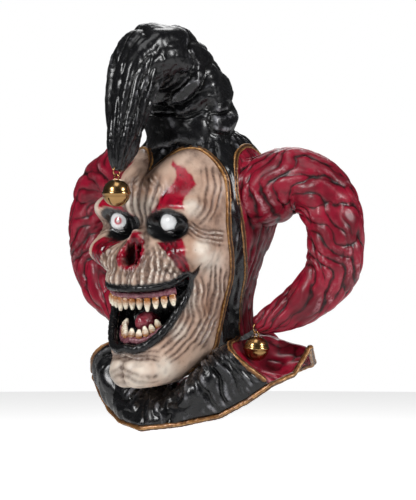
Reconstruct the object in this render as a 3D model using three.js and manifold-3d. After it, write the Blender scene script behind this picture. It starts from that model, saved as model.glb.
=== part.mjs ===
// A jester mask: a grinning latex face under a black and red hood with three horns, gold piping,
// a pointed collar and three bells. Millimetres, +Z up, the face looks along -Y, and the wearer's left is +X.
// The origin is where the top of the wearer's head meets the inside of the crown.
import * as THREE from 'three';
import { mergeVertices } from 'three/addons/utils/BufferGeometryUtils.js';
import Module from 'manifold-3d';

const wasm = await Module();
wasm.setup();

// Driving sizes. Every table below holds shares of these.
const HALF_WIDTH = 88; // middle of the hood to its side, at the ears
const DEPTH = 100; // head axis to the forehead
const DROP = 300; // crown to the underside of the chin
const RELIEF = 18; // height of the cheekbones over the plain face
const WALL = 3; // latex wall
const CLEARANCE = 0.3; // between neighbouring pieces
const PIPING = 3.4; // radius of the gold piping
const COLLAR_REACH = 0.3 * DROP; // neck to the collar's hem
const CENTRE_HORN_HEIGHT = 0.82 * DEPTH; // crown to the highest point of the middle horn's centre line
const CENTRE_HORN_RADIUS = 0.54 * DEPTH; // middle horn at its root
const SIDE_HORN_REACH = 0.3 * DROP; // hood's side to the outermost point of a side horn's centre line
const SIDE_HORN_RADIUS = 43; // side horn at its root
const LIP = 4.2; // radius of the lips
const LINING = 1.6; // wall of the mouth's lining
const MOUTH_DEPTH = 62; // front of the upper lip to the back of the mouth
const GUM = 4.6; // radius of the gums
const TOOTH_LENGTH = 15.5;
const TOOTH_WIDTH = 8;
const TOOTH_ROOT = 1.5; // how far a tooth would reach into the gum, if the gum didn't shape its root
const TONGUE_LENGTH = 40;
const EYE_RADIUS = 12.5;
const CENTRE_BELL_RADIUS = 16;
const SIDE_BELL_RADIUS = 14.5;
const BELL_WALL = 1.2;
const RING_RADIUS = 5.8;
const WIRE = 0.9; // radius of the rings' wire

// Paint
const paint = (color, roughness, metalness = 0) => new THREE.MeshStandardMaterial({ color, roughness, metalness });
const FLESH = paint(0xd9bfa6, 0.5);
const BLACK = paint(0x1b1b1c, 0.4);
const RED = paint(0x8e1228, 0.45);
const GOLD_PAINT = paint(0xa8722a, 0.4, 0.35);
const BRASS = paint(0xc79a4b, 0.2, 1);
const IVORY = paint(0xe9dcc0, 0.35);
const GUM_PINK = paint(0x9c4a56, 0.4);
const TONGUE_RED = paint(0x7c1d2c, 0.35);
const EYE_WHITE = paint(0xe6e6e2, 0.15);

const SMALLEST_EDGE = 0.15; // slivers under this are cleaned away after cutting

const { clamp, lerp, degToRad } = THREE.MathUtils;
const vec = (x, y, z) => new THREE.Vector3(x, y, z);
const HEAD_CENTRE = vec(0, -0.1 * DEPTH, -0.5 * DROP);

// A table as a list of objects, from its column names and its rows.
function table(columns, rows) {
  return rows.map((row) => Object.fromEntries(columns.map((column, i) => [column, row[i]])));
}

// A table read at any share of its length, each column passing smoothly through its rows.
function readTable(rows, share) {
  const last = rows.length - 1;
  const place = clamp(share, 0, 1) * last;
  const i = Math.min(Math.floor(place), last - 1);
  const u = place - i;
  const row = (k) => rows[clamp(k, 0, last)];
  const read = {};
  for (const column of Object.keys(rows[0])) {
    const [a, b, c, d] = [row(i - 1)[column], row(i)[column], row(i + 1)[column], row(i + 2)[column]];
    read[column] = b + 0.5 * u * (c - a + u * (2 * a - 5 * b + 4 * c - d + u * (3 * (b - c) + d - a)));
  }
  return read;
}

// The points of a curve, spaced evenly along its length. curve takes a share from 0 to 1.
function evenly(curve, count, samples = 120) {
  const dense = Array.from({ length: samples + 1 }, (_, i) => curve(i / samples));
  const run = [0];
  for (let i = 1; i <= samples; i++) run.push(run[i - 1] + dense[i].distanceTo(dense[i - 1]));
  let k = 0;
  return Array.from({ length: count + 1 }, (_, i) => {
    const wanted = (run[samples] * i) / count;
    while (k < samples - 1 && run[k + 1] < wanted) k++;
    return dense[k].clone().lerp(dense[k + 1], (wanted - run[k]) / (run[k + 1] - run[k]));
  });
}

// Solids from points
function solidFrom(points, triangles) {
  const geometry = new THREE.BufferGeometry().setFromPoints(points);
  geometry.setIndex(triangles);
  return solidOf(geometry);
}

function solidOf(geometry) {
  const bare = geometry.clone();
  bare.deleteAttribute('normal');
  bare.deleteAttribute('uv');
  const merged = mergeVertices(bare, 1e-4);
  const triVerts = new Uint32Array(merged.index.array);
  const vertProperties = new Float32Array(merged.attributes.position.array);
  const solid = new wasm.Manifold(new wasm.Mesh({ numProp: 3, vertProperties, triVerts }));
  if (solid.volume() > 0) return solid;
  for (let i = 0; i < triVerts.length; i += 3) {
    [triVerts[i + 1], triVerts[i + 2]] = [triVerts[i + 2], triVerts[i + 1]];
  }
  return new wasm.Manifold(new wasm.Mesh({ numProp: 3, vertProperties, triVerts }));
}

const mirrored = (solid) => solidOf(geometryOf(solid).scale(-1, 1, 1));
const middleOf = (points) => points.reduce((sum, p) => sum.add(p), vec(0, 0, 0)).divideScalar(points.length);

// A closed solid through rings of points, capped at both ends, or joined end to end in a loop.
function loft(rings, loop = false) {
  const sides = rings[0].length;
  const points = rings.flat();
  const triangles = [];
  const steps = loop ? rings.length : rings.length - 1;
  for (let i = 0; i < steps; i++) {
    const [near, far] = [i * sides, ((i + 1) % rings.length) * sides];
    for (let j = 0; j < sides; j++) {
      const k = (j + 1) % sides;
      triangles.push(near + j, near + k, far + j, near + k, far + k, far + j);
    }
  }
  if (!loop) {
    const [start, end] = [points.length, points.length + 1];
    const lastRing = (rings.length - 1) * sides;
    points.push(middleOf(rings[0]), middleOf(rings[rings.length - 1]));
    for (let j = 0; j < sides; j++) {
      const k = (j + 1) % sides;
      triangles.push(start, k, j, end, lastRing + j, lastRing + k);
    }
  }
  return solidFrom(points, triangles);
}

// A closed wall between an outer sheet of points and an inner one that is coarser by a whole step.
function wallBetween(outer, inner, step) {
  const points = [...outer.flat(), ...inner.flat()];
  const triangles = [];
  const sheet = (rows, columns, start, flip) => {
    const at = (i, j) => start + i * (columns + 1) + j;
    for (let i = 0; i < rows; i++) {
      for (let j = 0; j < columns; j++) {
        const [a, b, c, d] = [at(i, j), at(i, j + 1), at(i + 1, j + 1), at(i + 1, j)];
        triangles.push(...(flip ? [a, c, b, a, d, c] : [a, b, c, a, c, d]));
      }
    }
    const rim = [];
    for (let j = 0; j < columns; j++) rim.push(at(0, j));
    for (let i = 0; i < rows; i++) rim.push(at(i, columns));
    for (let j = columns; j > 0; j--) rim.push(at(rows, j));
    for (let i = rows; i > 0; i--) rim.push(at(i, 0));
    return rim;
  };
  const outerRim = sheet(outer.length - 1, outer[0].length - 1, 0, false);
  const innerRim = sheet(inner.length - 1, inner[0].length - 1, outer.flat().length, true);
  innerRim.forEach((corner, m) => {
    const next = innerRim[(m + 1) % innerRim.length];
    for (let a = 0; a < step; a++) {
      const from = outerRim[m * step + a];
      const to = outerRim[(m * step + a + 1) % outerRim.length];
      triangles.push(to, from, corner);
      if (a === step - 1) triangles.push(to, corner, next);
    }
  });
  return solidFrom(points, triangles);
}

// A tube along points. section(i) lists the corners of its section as steps [out, across], where out is the
// direction that aside(point) gives.
function tube(points, section, aside, loop = false) {
  const last = points.length - 1;
  const rings = points.map((point, i) => {
    const before = points[loop ? (i + last) % (last + 1) : Math.max(i - 1, 0)];
    const after = points[loop ? (i + 1) % (last + 1) : Math.min(i + 1, last)];
    const along = after.clone().sub(before).normalize();
    const upright = aside(point).clone();
    upright.addScaledVector(along, -upright.dot(along)).normalize();
    const sideways = along.clone().cross(upright);
    return section(i).map(([out, across]) => point.clone().addScaledVector(upright, out).addScaledVector(sideways, across));
  });
  return loft(rings, loop);
}

// The corners of a round section.
function round(radius, sides, ripple = () => 1) {
  return Array.from({ length: sides }, (_, j) => {
    const angle = (2 * Math.PI * j) / sides;
    const reach = radius * ripple(angle);
    return [reach * Math.cos(angle), reach * Math.sin(angle)];
  });
}

const fromHeadCentre = (point) => point.clone().sub(HEAD_CENTRE);

// The hood's head form. One row for each level from the crown down to the neck, as shares of DROP,
// DEPTH and HALF_WIDTH. lean tilts a level up towards the back.
const HOOD_ROWS = table(
  ['height', 'front', 'back', 'width', 'lean'],
  [
    [0.005, -0.24, 0.1, 0.17, 0], // crown
    [-0.03, -0.5, 0.36, 0.46, 0],
    [-0.06, -0.6, 0.52, 0.6, 0],
    [-0.1, -0.69, 0.64, 0.7, 0],
    [-0.15, -0.82, 0.76, 0.82, 0],
    [-0.2, -0.98, 0.85, 0.895, 0], // forehead
    [-0.28, -1.02, 0.91, 0.955, 0],
    [-0.375, -1.04, 0.87, 0.995, 0], // ears
    [-0.485, -1.04, 0.7, 0.915, 0],
    [-0.585, -1.0, 0.6, 0.795, 0],
    [-0.675, -0.92, 0.56, 0.705, 0.04], // nape
    [-0.75, -0.88, 0.58, 0.685, 0.12],
    [-0.823, -0.86, 0.62, 0.705, 0.24], // neck
  ],
);
const HOOD_AXIS = -0.08; // share of DEPTH
const HOOD_FULLNESS = 2.4;
const HOOD_LEVELS = 12;
const NECK_EXTRA = 0.06; // share of DROP that the hollow runs on below the neck

// A point of the hood's head form at an angle from the front, set out from its surface by a margin.
function hoodPoint(share, angle, margin = 0) {
  const row = readTable(HOOD_ROWS, share);
  const [side, forward] = [Math.sin(angle), Math.cos(angle)];
  const power = 2 / HOOD_FULLNESS;
  const axis = HOOD_AXIS * DEPTH;
  const run = forward > 0 ? axis - row.front * DEPTH + margin : row.back * DEPTH - axis + margin;
  const y = axis - Math.sign(forward) * run * Math.abs(forward) ** power;
  const x = Math.sign(side) * (row.width * HALF_WIDTH + margin) * Math.abs(side) ** power;
  return vec(x, y, row.height * DROP + (share === 0 ? margin : 0) + row.lean * y);
}

function hoodSolid(sides, margin, extra = 0) {
  const rings = Array.from({ length: HOOD_LEVELS + 1 }, (_, i) =>
    Array.from({ length: sides }, (_, j) => hoodPoint(i / HOOD_LEVELS, (2 * Math.PI * j) / sides, margin)));
  if (extra) rings.push(rings.at(-1).map((p) => vec(p.x, p.y, p.z - extra * DROP)));
  return loft(rings);
}

// The hood level that lies at a height, as a share of the table.
function hoodShareAt(height) {
  let [low, high] = [0, 1];
  for (let i = 0; i < 30; i++) {
    const middle = (low + high) / 2;
    if (readTable(HOOD_ROWS, middle).height > height) low = middle;
    else high = middle;
  }
  return (low + high) / 2;
}

// A point moved to the middle of the hood's wall at its own level.
function onHood(point) {
  const row = readTable(HOOD_ROWS, hoodShareAt(point.z / DROP));
  const axis = HOOD_AXIS * DEPTH;
  const run = (point.y < axis ? axis - row.front * DEPTH : row.back * DEPTH - axis) - WALL / 2;
  const side = Math.abs(point.x / (row.width * HALF_WIDTH - WALL / 2)) ** HOOD_FULLNESS;
  const forward = Math.abs((point.y - axis) / run) ** HOOD_FULLNESS;
  const scale = (side + forward) ** (-1 / HOOD_FULLNESS);
  return vec(point.x * scale, axis + (point.y - axis) * scale, point.z);
}

// The face. One row for each level, from the piping at the forehead down and round under the chin to the
// piping there. centre* is the middle of the face and edge* its side, as shares of DEPTH, DROP and HALF_WIDTH.
// fullness is how boxy the level is, and arch lifts it between middle and edge.
const FACE_ROWS = table(
  ['centreDepth', 'centreHeight', 'edgeWidth', 'edgeDepth', 'edgeHeight', 'fullness', 'arch'],
  [
    [-1.0, -0.193, 0.818, -0.455, -0.2, 0.75, 0.1], // piping at the forehead
    [-1.04, -0.222, 0.85, -0.46, -0.22, 1.25, 0.07], // hairline
    [-1.08, -0.26, 0.875, -0.46, -0.255, 1.9, 0.038], // forehead
    [-1.1, -0.3, 0.895, -0.48, -0.295, 2.5, 0.012], // over the brows
    [-1.1, -0.343, 0.907, -0.49, -0.338, 2.9, 0], // brows
    [-1.07, -0.393, 0.909, -0.5, -0.39, 3, 0], // eyes
    [-1.14, -0.44, 0.9, -0.46, -0.44, 2.9, 0], // under the eyes
    [-1.25, -0.5, 0.865, -0.39, -0.495, 2.6, 0], // nose
    [-1.33, -0.56, 0.81, -0.31, -0.55, 2.4, 0], // over the lip
    [-1.37, -0.61, 0.757, -0.275, -0.6, 2.3, 0], // upper lip
    [-1.38, -0.69, 0.7, -0.28, -0.665, 2.2, 0], // upper teeth
    [-1.38, -0.78, 0.665, -0.32, -0.735, 2.2, 0], // lower teeth
    [-1.4, -0.865, 0.64, -0.37, -0.8, 2.1, 0], // lower lip
    [-1.44, -0.945, 0.62, -0.41, -0.855, 1.85, 0], // chin
    [-1.41, -0.995, 0.59, -0.44, -0.885, 1.7, 0], // chin's edge
    [-1.28, -1.02, 0.555, -0.47, -0.905, 1.55, 0], // chin's underside
    [-1.03, -1.003, 0.515, -0.5, -0.92, 1.45, 0], // under the chin
    [-0.77, -0.99, 0.47, -0.525, -0.93, 1.4, 0], // piping under the chin
  ],
);
const EDGE_CLIMB = 2.4; // how late a level climbs from its middle's height to its edge's
const SNAP_HEIGHT = -0.79; // share of DROP above which the face's edge lies in the hood's wall

// Rounds and hollows of the face. across is along the skin from the middle line, as a share of HALF_WIDTH,
// height and spreadUp are shares of DROP, spreadAcross of HALF_WIDTH, and rise of RELIEF.
const FACE_FORMS = table(
  ['across', 'height', 'spreadAcross', 'spreadUp', 'rise'],
  [
    [0.5, -0.325, 0.3, 0.035, 0.5], // brow ridge
    [0.8, -0.335, 0.19, 0.05, 0.5], // outer end of the brow
    [0, -0.36, 0.12, 0.04, -0.2], // frown between the brows
    [0.44, -0.398, 0.24, 0.046, -1.15], // eye socket
    [0.84, -0.49, 0.28, 0.055, 1], // cheekbone
    [0, -0.44, 0.11, 0.05, 0.35], // bridge of the nose
    [0.17, -0.5, 0.07, 0.05, 0.3], // rim of the nose
    [0.095, -0.508, 0.075, 0.034, -0.9], // nostril
    [0.5, -0.57, 0.3, 0.022, -0.25], // smile crease
    [0.35, -0.59, 0.3, 0.025, 0.2], // upper lip
    [1.05, -0.68, 0.12, 0.07, 0.35], // fold beside the mouth
    [1.3, -0.7, 0.1, 0.09, -0.25], // hollow of the jaw
    [0, -0.895, 0.35, 0.014, -0.35], // crease under the lip
    [0.2, -0.955, 0.19, 0.045, 0.45], // half of the chin
    [0, -0.965, 0.045, 0.05, -0.35], // cleft of the chin
    [1.1, -0.36, 0.18, 0.07, -0.25], // temple
  ],
);

function faceRelief(across, height) {
  return RELIEF * FACE_FORMS.reduce((sum, form) => {
    const up = (height / DROP - form.height) / form.spreadUp;
    const reach = (side) => {
      const out = ((side * across) / HALF_WIDTH - form.across) / form.spreadAcross;
      return Math.exp(-out * out - up * up);
    };
    return sum + form.rise * (form.across ? reach(1) + reach(-1) : reach(1));
  }, 0);
}

// One level of the plain face, from its middle to its edge. Above the neck the edge lies in the hood's wall,
// and so does the whole of the top level.
function faceLevel(share, count) {
  const row = readTable(FACE_ROWS, share);
  const tabled = vec(row.edgeWidth * HALF_WIDTH, row.edgeDepth * DEPTH, row.edgeHeight * DROP);
  const edge = row.edgeHeight > SNAP_HEIGHT ? onHood(tabled) : tabled;
  return evenly((quarter) => {
    const turn = quarter * Math.PI / 2;
    const out = Math.sin(turn) ** (2 / row.fullness);
    const forward = Math.cos(turn) ** (2 / row.fullness);
    const arch = row.arch * 4 * out * (1 - out);
    const depth = lerp(edge.y, row.centreDepth * DEPTH, forward);
    const height = lerp(row.centreHeight, row.edgeHeight, out ** EDGE_CLIMB) + arch;
    const point = vec(edge.x * out, depth, DROP * height);
    return share === 0 ? onHood(point) : point;
  }, count);
}

// Level shares spaced evenly down the middle of the face.
function faceShares(count) {
  const samples = 240;
  const profile = Array.from({ length: samples + 1 }, (_, i) => {
    const row = readTable(FACE_ROWS, i / samples);
    return vec(i / samples, DEPTH * row.centreDepth, DROP * row.centreHeight);
  });
  const run = [0];
  for (let i = 1; i <= samples; i++) {
    run.push(run[i - 1] + Math.hypot(profile[i].y - profile[i - 1].y, profile[i].z - profile[i - 1].z));
  }
  return Array.from({ length: count + 1 }, (_, k) => {
    const wanted = (run[samples] * k) / count;
    const i = clamp(run.findIndex((length) => length >= wanted), 1, samples);
    return lerp(profile[i - 1].x, profile[i].x, (wanted - run[i - 1]) / (run[i] - run[i - 1]));
  });
}

// A sheet of points over the whole face: its plain levels, raised by relief(across, height) along the normal.
function faceSheet(rows, columns, relief) {
  const half = columns / 2;
  const plain = faceShares(rows).map((share) => {
    const side = faceLevel(share, half);
    const mirrored = side.slice(1).reverse().map((p) => vec(-p.x, p.y, p.z));
    return [...mirrored, ...side];
  });
  return plain.map((level, i) => level.map((point, j) => {
    const upper = plain[Math.max(i - 1, 0)][j];
    const lower = plain[Math.min(i + 1, rows)][j];
    const left = level[Math.max(j - 1, 0)];
    const right = level[Math.min(j + 1, columns)];
    const normal = lower.clone().sub(upper).cross(right.clone().sub(left)).normalize();
    const alongSkin = level.slice(Math.min(j, half), Math.max(j, half) + 1);
    const across = alongSkin.slice(1).reduce((sum, p, k) => sum + p.distanceTo(alongSkin[k]), 0);
    return point.clone().addScaledVector(normal, relief(across, point.z));
  }));
}

// The inner side of the face follows the lowest relief near each point, so that the wall is never thin.
const WALL_LOOK = 4;
function innerRelief(across, height) {
  const looks = [-WALL_LOOK, 0, WALL_LOOK];
  return Math.min(...looks.flatMap((a) => looks.map((b) => faceRelief(across + a, height + b)))) - WALL;
}

// The piping round the face follows the face's own edge.
function faceEdge() {
  const shares = faceShares(12);
  const rim = (share) => faceLevel(share, 5);
  const side = shares.slice(1, -1).map((share) => rim(share).at(-1));
  const half = [...rim(0), ...side, ...rim(1).reverse()];
  const other = half.slice(1, -1).reverse().map((p) => vec(-p.x, p.y, p.z));
  return [...half, ...other];
}
const FACE_EDGE = faceEdge();

// The seam between the black middle of the hood and a red side, from the front of the neck, up, over and
// down to the back of the neck. height is a share of DROP and turn an angle from the front in degrees.
const HOOD_SEAM = table(
  ['height', 'turn'],
  [
    [-0.825, 91],
    [-0.7, 94],
    [-0.585, 92.5],
    [-0.485, 86],
    [-0.39, 80],
    [-0.275, 77],
    [-0.18, 79],
    [-0.12, 87],
    [-0.092, 101],
    [-0.098, 117],
    [-0.135, 131],
    [-0.2, 141],
    [-0.285, 147],
    [-0.375, 151],
    [-0.485, 153],
    [-0.585, 153],
    [-0.675, 152],
    [-0.82, 150],
  ],
);

// The collar. One row for each station from the front round to the back. neck* is where it leaves the neck, as
// shares of HALF_WIDTH, DEPTH and DROP. The ridge and the hem are set out from there by shares of COLLAR_REACH.
const COLLAR_STATIONS = table(
  ['neckOut', 'neckBack', 'neckUp', 'ridgeOut', 'ridgeBack', 'ridgeUp', 'hemOut', 'hemBack', 'hemUp'],
  [
    [0, -0.745, -1.007, 0, -0.283, -0.283, 0, -0.411, -0.55], // front point
    [0.295, -0.66, -0.995, 0.156, -0.336, -0.21, 0.178, -0.322, -0.53],
    [0.5, -0.51, -0.925, 0.356, -0.4, -0.105, 0.411, -0.178, -0.65],
    [0.62, -0.45, -0.885, 0.389, -0.339, -0.045, 0.6, -0.056, -0.59],
    [0.705, -0.08, -0.843, 0.378, -0.6, -0.111, 0.767, -0.3, -0.52], // black and red meet at the front corner
    [0.705, 0.1, -0.833, 0.4, -0.178, -0.43, 0.844, -0.111, -0.43], // hollow under the bell
    [0.636, 0.3, -0.817, 0.5, 0.056, -0.08, 0.9, 0.022, -0.16], // shoulder point
    [0.5, 0.48, -0.8, 0.311, 0.267, -0.18, 0.622, 0.444, -0.467],
    [0.352, 0.57, -0.793, 0.144, 0.3, -0.2, 0.233, 0.522, -0.644], // red and black meet at the back
    [0, 0.62, -0.79, 0, 0.289, -0.256, 0, 0.556, -0.811], // back point
  ],
);
const FRONT_SEAM_STATION = 4;
const BACK_SEAM_STATION = 8;
const LAST_STATION = COLLAR_STATIONS.length - 1;

// The curve down the collar at a station, which may lie between two rows: from the neck over the ridge to the hem.
function collarSection(place) {
  const i = Math.min(Math.floor(place), LAST_STATION - 1);
  const mixed = (column) => lerp(COLLAR_STATIONS[i][column], COLLAR_STATIONS[i + 1][column], place - i);
  const neck = vec(mixed('neckOut') * HALF_WIDTH, mixed('neckBack') * DEPTH, mixed('neckUp') * DROP);
  const set = (out, back, up) => vec(out, back, up).multiplyScalar(COLLAR_REACH).add(neck);
  const ridge = set(mixed('ridgeOut'), mixed('ridgeBack'), mixed('ridgeUp'));
  const hem = set(mixed('hemOut'), mixed('hemBack'), mixed('hemUp'));
  const control = ridge.multiplyScalar(2).sub(neck.clone().add(hem).multiplyScalar(0.5));
  return new THREE.QuadraticBezierCurve3(neck, control, hem);
}

const COLLAR_ROWS = 5;
const STATION_STEPS = 2;

// The whole collar: a wall round the neck, from the neck edge out over the ridge and down to the hem.
function collarRing() {
  const columns = 2 * LAST_STATION * STATION_STEPS;
  const middle = Array.from({ length: COLLAR_ROWS + 1 }, (_, i) => Array.from({ length: columns }, (_, j) => {
    const place = j / STATION_STEPS;
    const mirrored = place > LAST_STATION;
    const point = collarSection(mirrored ? 2 * LAST_STATION - place : place).getPoint(i / COLLAR_ROWS);
    return vec(mirrored ? -point.x : point.x, point.y, point.z);
  }));
  const skin = (offset) => middle.map((row, i) => row.map((point, j) => {
    const down = middle[Math.min(i + 1, COLLAR_ROWS)][j].clone().sub(middle[Math.max(i - 1, 0)][j]);
    const along = row[(j + 1) % columns].clone().sub(row[(j + columns - 1) % columns]);
    return point.clone().addScaledVector(along.cross(down).normalize(), offset);
  }));
  return loft([...skin(WALL / 2), ...skin(-WALL / 2).reverse()], true);
}

// A piped seam: up the front of the collar and the hood, over, and down the back. It stops at a share of the
// collar's way to the hem.
function seamPath(end) {
  const onCollar = (station, shares) => shares.map((share) => collarSection(station).getPoint(share * end));
  return [
    ...onCollar(FRONT_SEAM_STATION, [1, 0.75, 0.5, 0.25]),
    ...HOOD_SEAM.map(({ height, turn }) => hoodPoint(hoodShareAt(height), degToRad(turn), -WALL / 2)),
    ...onCollar(BACK_SEAM_STATION, [0.3, 0.65, 1]),
  ];
}

// The horns. Each row is a section from the root to the tip: a point of the centre line and its radius.
// The middle horn's points are shares of CENTRE_HORN_HEIGHT set out from the crown, and its radii of CENTRE_HORN_RADIUS.
const CENTRE_HORN = table(
  ['back', 'up', 'radius'],
  [
    [-0.2, -0.5, 0.96],
    [-0.2, 0, 0.96],
    [-0.25, 0.32, 0.9],
    [-0.41, 0.62, 0.82],
    [-0.7, 0.87, 0.73],
    [-1.07, 0.95, 0.67],
    [-1.38, 0.82, 0.58],
    [-1.57, 0.47, 0.48],
    [-1.66, 0.1, 0.41],
    [-1.74, -0.26, 0.34],
    [-1.81, -0.5, 0.22],
    [-1.84, -0.66, 0.1],
  ],
);
// A side horn's points are shares of SIDE_HORN_REACH set out from the hood's side at the ear, and its radii
// of SIDE_HORN_RADIUS.
const SIDE_HORN = table(
  ['out', 'back', 'up', 'radius'],
  [
    [-0.4, 0.16, 0.36, 0.88],
    [0.0, 0.2, 0.38, 0.92],
    [0.33, 0.25, 0.52, 0.88],
    [0.6, 0.32, 0.5, 0.81],
    [0.82, 0.36, 0.33, 0.8],
    [0.97, 0.38, 0.04, 0.76],
    [1.01, 0.38, -0.28, 0.73],
    [0.96, 0.37, -0.61, 0.7],
    [0.76, 0.27, -0.92, 0.6],
    [0.47, 0.16, -1.14, 0.48],
    [0.25, 0.0, -1.27, 0.34],
    [0.09, -0.13, -1.34, 0.17],
  ],
);
const HORN_FOLDS = 4; // spiral folds round a horn
const FOLD_DEPTH = 0.06; // share of the horn's radius
const FOLD_TURNS = 1.1; // turns of a fold from root to tip
const HORN_SECTIONS = 15;
const HORN_SIDES = 12;
const HOLLOW_END = 0.72; // share of the horn's length that is hollow
const HORN_INNER_SIDES = 8;

function centreHornPlace(share) {
  const row = readTable(CENTRE_HORN, share);
  return { point: vec(0, row.back * CENTRE_HORN_HEIGHT, row.up * CENTRE_HORN_HEIGHT), radius: row.radius * CENTRE_HORN_RADIUS };
}

function sideHornPlace(share) {
  const row = readTable(SIDE_HORN, share);
  const ear = hoodPoint(hoodShareAt(-0.375), Math.PI / 2);
  const point = ear.add(vec(row.out, row.back, row.up).multiplyScalar(SIDE_HORN_REACH));
  return { point, radius: row.radius * SIDE_HORN_RADIUS };
}

// A horn's skin, or the hollow inside it, along the centre line that place(share) gives.
function hornTube(place, aside, { end = 1, inset = 0, sections = HORN_SECTIONS, sides = HORN_SIDES } = {}) {
  const shares = Array.from({ length: sections + 1 }, (_, i) => (end * i) / sections);
  const points = shares.map((share) => place(share).point);
  const folds = inset ? 0 : FOLD_DEPTH;
  const section = (i) => round(place(shares[i]).radius - inset, sides,
    (angle) => 1 + folds * Math.sin(HORN_FOLDS * angle + 2 * Math.PI * FOLD_TURNS * shares[i]));
  return tube(points, section, () => aside);
}

const HORN_INSET = WALL + SIDE_HORN_RADIUS * FOLD_DEPTH;
const NECK_INSET = 16; // horn's skin to the hole in the hood under it
const hornHollow = (place, aside, inset = HORN_INSET) => hornTube(place, aside, {
  end: HOLLOW_END, inset, sections: 7, sides: HORN_INNER_SIDES,
});

// The mouth. Half of the lips' centre line seen from the front, from the middle of the upper lip round to
// the middle of the lower one, as shares of HALF_WIDTH and DROP.
const MOUTH_OUTLINE = table(
  ['across', 'height'],
  [
    [0, -0.632],
    [0.2, -0.63],
    [0.39, -0.624],
    [0.55, -0.608],
    [0.665, -0.58],
    [0.62, -0.64],
    [0.54, -0.71],
    [0.45, -0.78],
    [0.31, -0.838],
    [0.15, -0.862],
    [0, -0.858],
  ],
);
const MOUTH_POINTS = 2 * (MOUTH_OUTLINE.length - 1);
const MOUTH_HEIGHT = -0.73; // share of DROP

const faceOuter = wallBetween(faceSheet(28, 24, faceRelief), faceSheet(14, 12, innerRelief), 2);

// Depth of the face's skin behind a point of the front view.
const faceSkin = new THREE.Mesh(geometryOf(faceOuter), new THREE.MeshBasicMaterial({ side: THREE.DoubleSide }));
function skinDepth(x, z) {
  const ray = new THREE.Raycaster(vec(x, -3 * DEPTH, z), vec(0, 1, 0));
  const hit = ray.intersectObject(faceSkin)[0];
  return hit ? hit.point.y : -DEPTH;
}

// The lips' centre line: the outline laid on the face, half a wall in from its skin.
const LIP_LINE = Array.from({ length: MOUTH_POINTS }, (_, i) => {
  const mirrored = i >= MOUTH_OUTLINE.length;
  const row = MOUTH_OUTLINE[mirrored ? MOUTH_POINTS - i : i];
  const x = (mirrored ? -1 : 1) * row.across * HALF_WIDTH;
  const z = row.height * DROP;
  return vec(x, skinDepth(x, z) + WALL / 2, z);
});

// The outline moved towards the middle of the mouth by a distance and back by another.
function insideMouth(inward, back) {
  const count = LIP_LINE.length;
  return LIP_LINE.map((point, i) => {
    const along = LIP_LINE[(i + 1) % count].clone().sub(LIP_LINE[(i + count - 1) % count]).setY(0).normalize();
    const side = vec(along.z, 0, -along.x);
    if (side.dot(vec(-point.x, 0, MOUTH_HEIGHT * DROP - point.z)) < 0) side.negate();
    return point.clone().addScaledVector(side, inward).add(vec(0, back, 0));
  });
}

const MOUTH_BACK = LIP_LINE[0].y + MOUTH_DEPTH;
const LINING_START = 3;

function mouthHole() {
  const loop = insideMouth(-(LIP + CLEARANCE), 0);
  return loft([-2 * DEPTH, -0.6 * DEPTH].map((y) => loop.map((p) => vec(p.x, y, p.z))));
}

// The mouth's lining: a bowl from behind the lips to the back of the mouth.
const BOWL_ROWS = table(
  ['shrink', 'back'],
  [
    [0, 0],
    [0.02, 0.4],
    [0.12, 0.82],
    [0.4, 0.98],
    [0.8, 1],
  ],
);

function mouthLining() {
  const middle = vec(0, 0, MOUTH_HEIGHT * DROP);
  const skin = (inward, forward) => {
    const rim = insideMouth(inward, LINING_START);
    return BOWL_ROWS.map((row, i) => rim.map((p) => {
      const y = lerp(p.y, MOUTH_BACK, row.back) - 0.7 * inward * row.back - (i ? 0 : forward);
      return vec(p.x, 0, p.z).sub(middle).multiplyScalar(1 - row.shrink).add(middle).setY(y);
    }));
  };
  return loft(skin(0, 0)).subtract(loft(skin(1.5 * LINING, LIP)));
}

function geometryOf(solid) {
  const { vertProperties, triVerts } = solid.getMesh();
  const geometry = new THREE.BufferGeometry();
  geometry.setAttribute('position', new THREE.BufferAttribute(vertProperties, 3));
  geometry.setIndex(new THREE.BufferAttribute(triVerts, 1));
  geometry.computeVertexNormals();
  return geometry;
}

// Gums and teeth. A gum lies against the lining along a stretch of the lips' line, and teeth stand on it.
const GUM_BACK = 6;
const UPPER_GUM_SEAT = 7.7; // lips' line to a gum's centre line
const LOWER_GUM_SEAT = 8.6;
const GUM_TRIM = 0.07; // share of a gum's line left off at each end
const UPPER_GUM_REACH = 3; // lip points to each side of the middle
const LOWER_GUM_REACH = 3;
const UPPER_TEETH = 11;
const LOWER_TEETH = 9;

function gumCurve(middleIndex, reach, seat) {
  const line = insideMouth(seat, LIP + GUM_BACK);
  const count = line.length;
  const points = [];
  for (let i = -reach; i <= reach; i++) points.push(line[(middleIndex + i + count) % count]);
  const whole = new THREE.CatmullRomCurve3(points);
  const kept = Array.from({ length: 9 }, (_, i) => whole.getPointAt(lerp(GUM_TRIM, 1 - GUM_TRIM, i / 8)));
  return new THREE.CatmullRomCurve3(kept);
}

function tooth(root, grow, length, width) {
  const sections = table(
    ['along', 'wide', 'deep'],
    [
      [0, 0.42, 0.36],
      [0.45, 0.5, 0.42],
      [1, 0.15, 0.15],
    ],
  );
  const sides = 6;
  const across = vec(grow.z, 0, -grow.x);
  return loft(sections.map(({ along, wide, deep }) => Array.from({ length: sides }, (_, j) => {
    const angle = (2 * Math.PI * j) / sides;
    const point = root.clone().addScaledVector(grow, along * length);
    point.addScaledVector(across, wide * width * Math.cos(angle));
    return point.add(vec(0, deep * width * Math.sin(angle), 0));
  })));
}

// Bells
const BELL_SIDES = 10;
const SLOT_WIDTH = 2.2;
const LOOP_RADIUS = 3.2;

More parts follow.
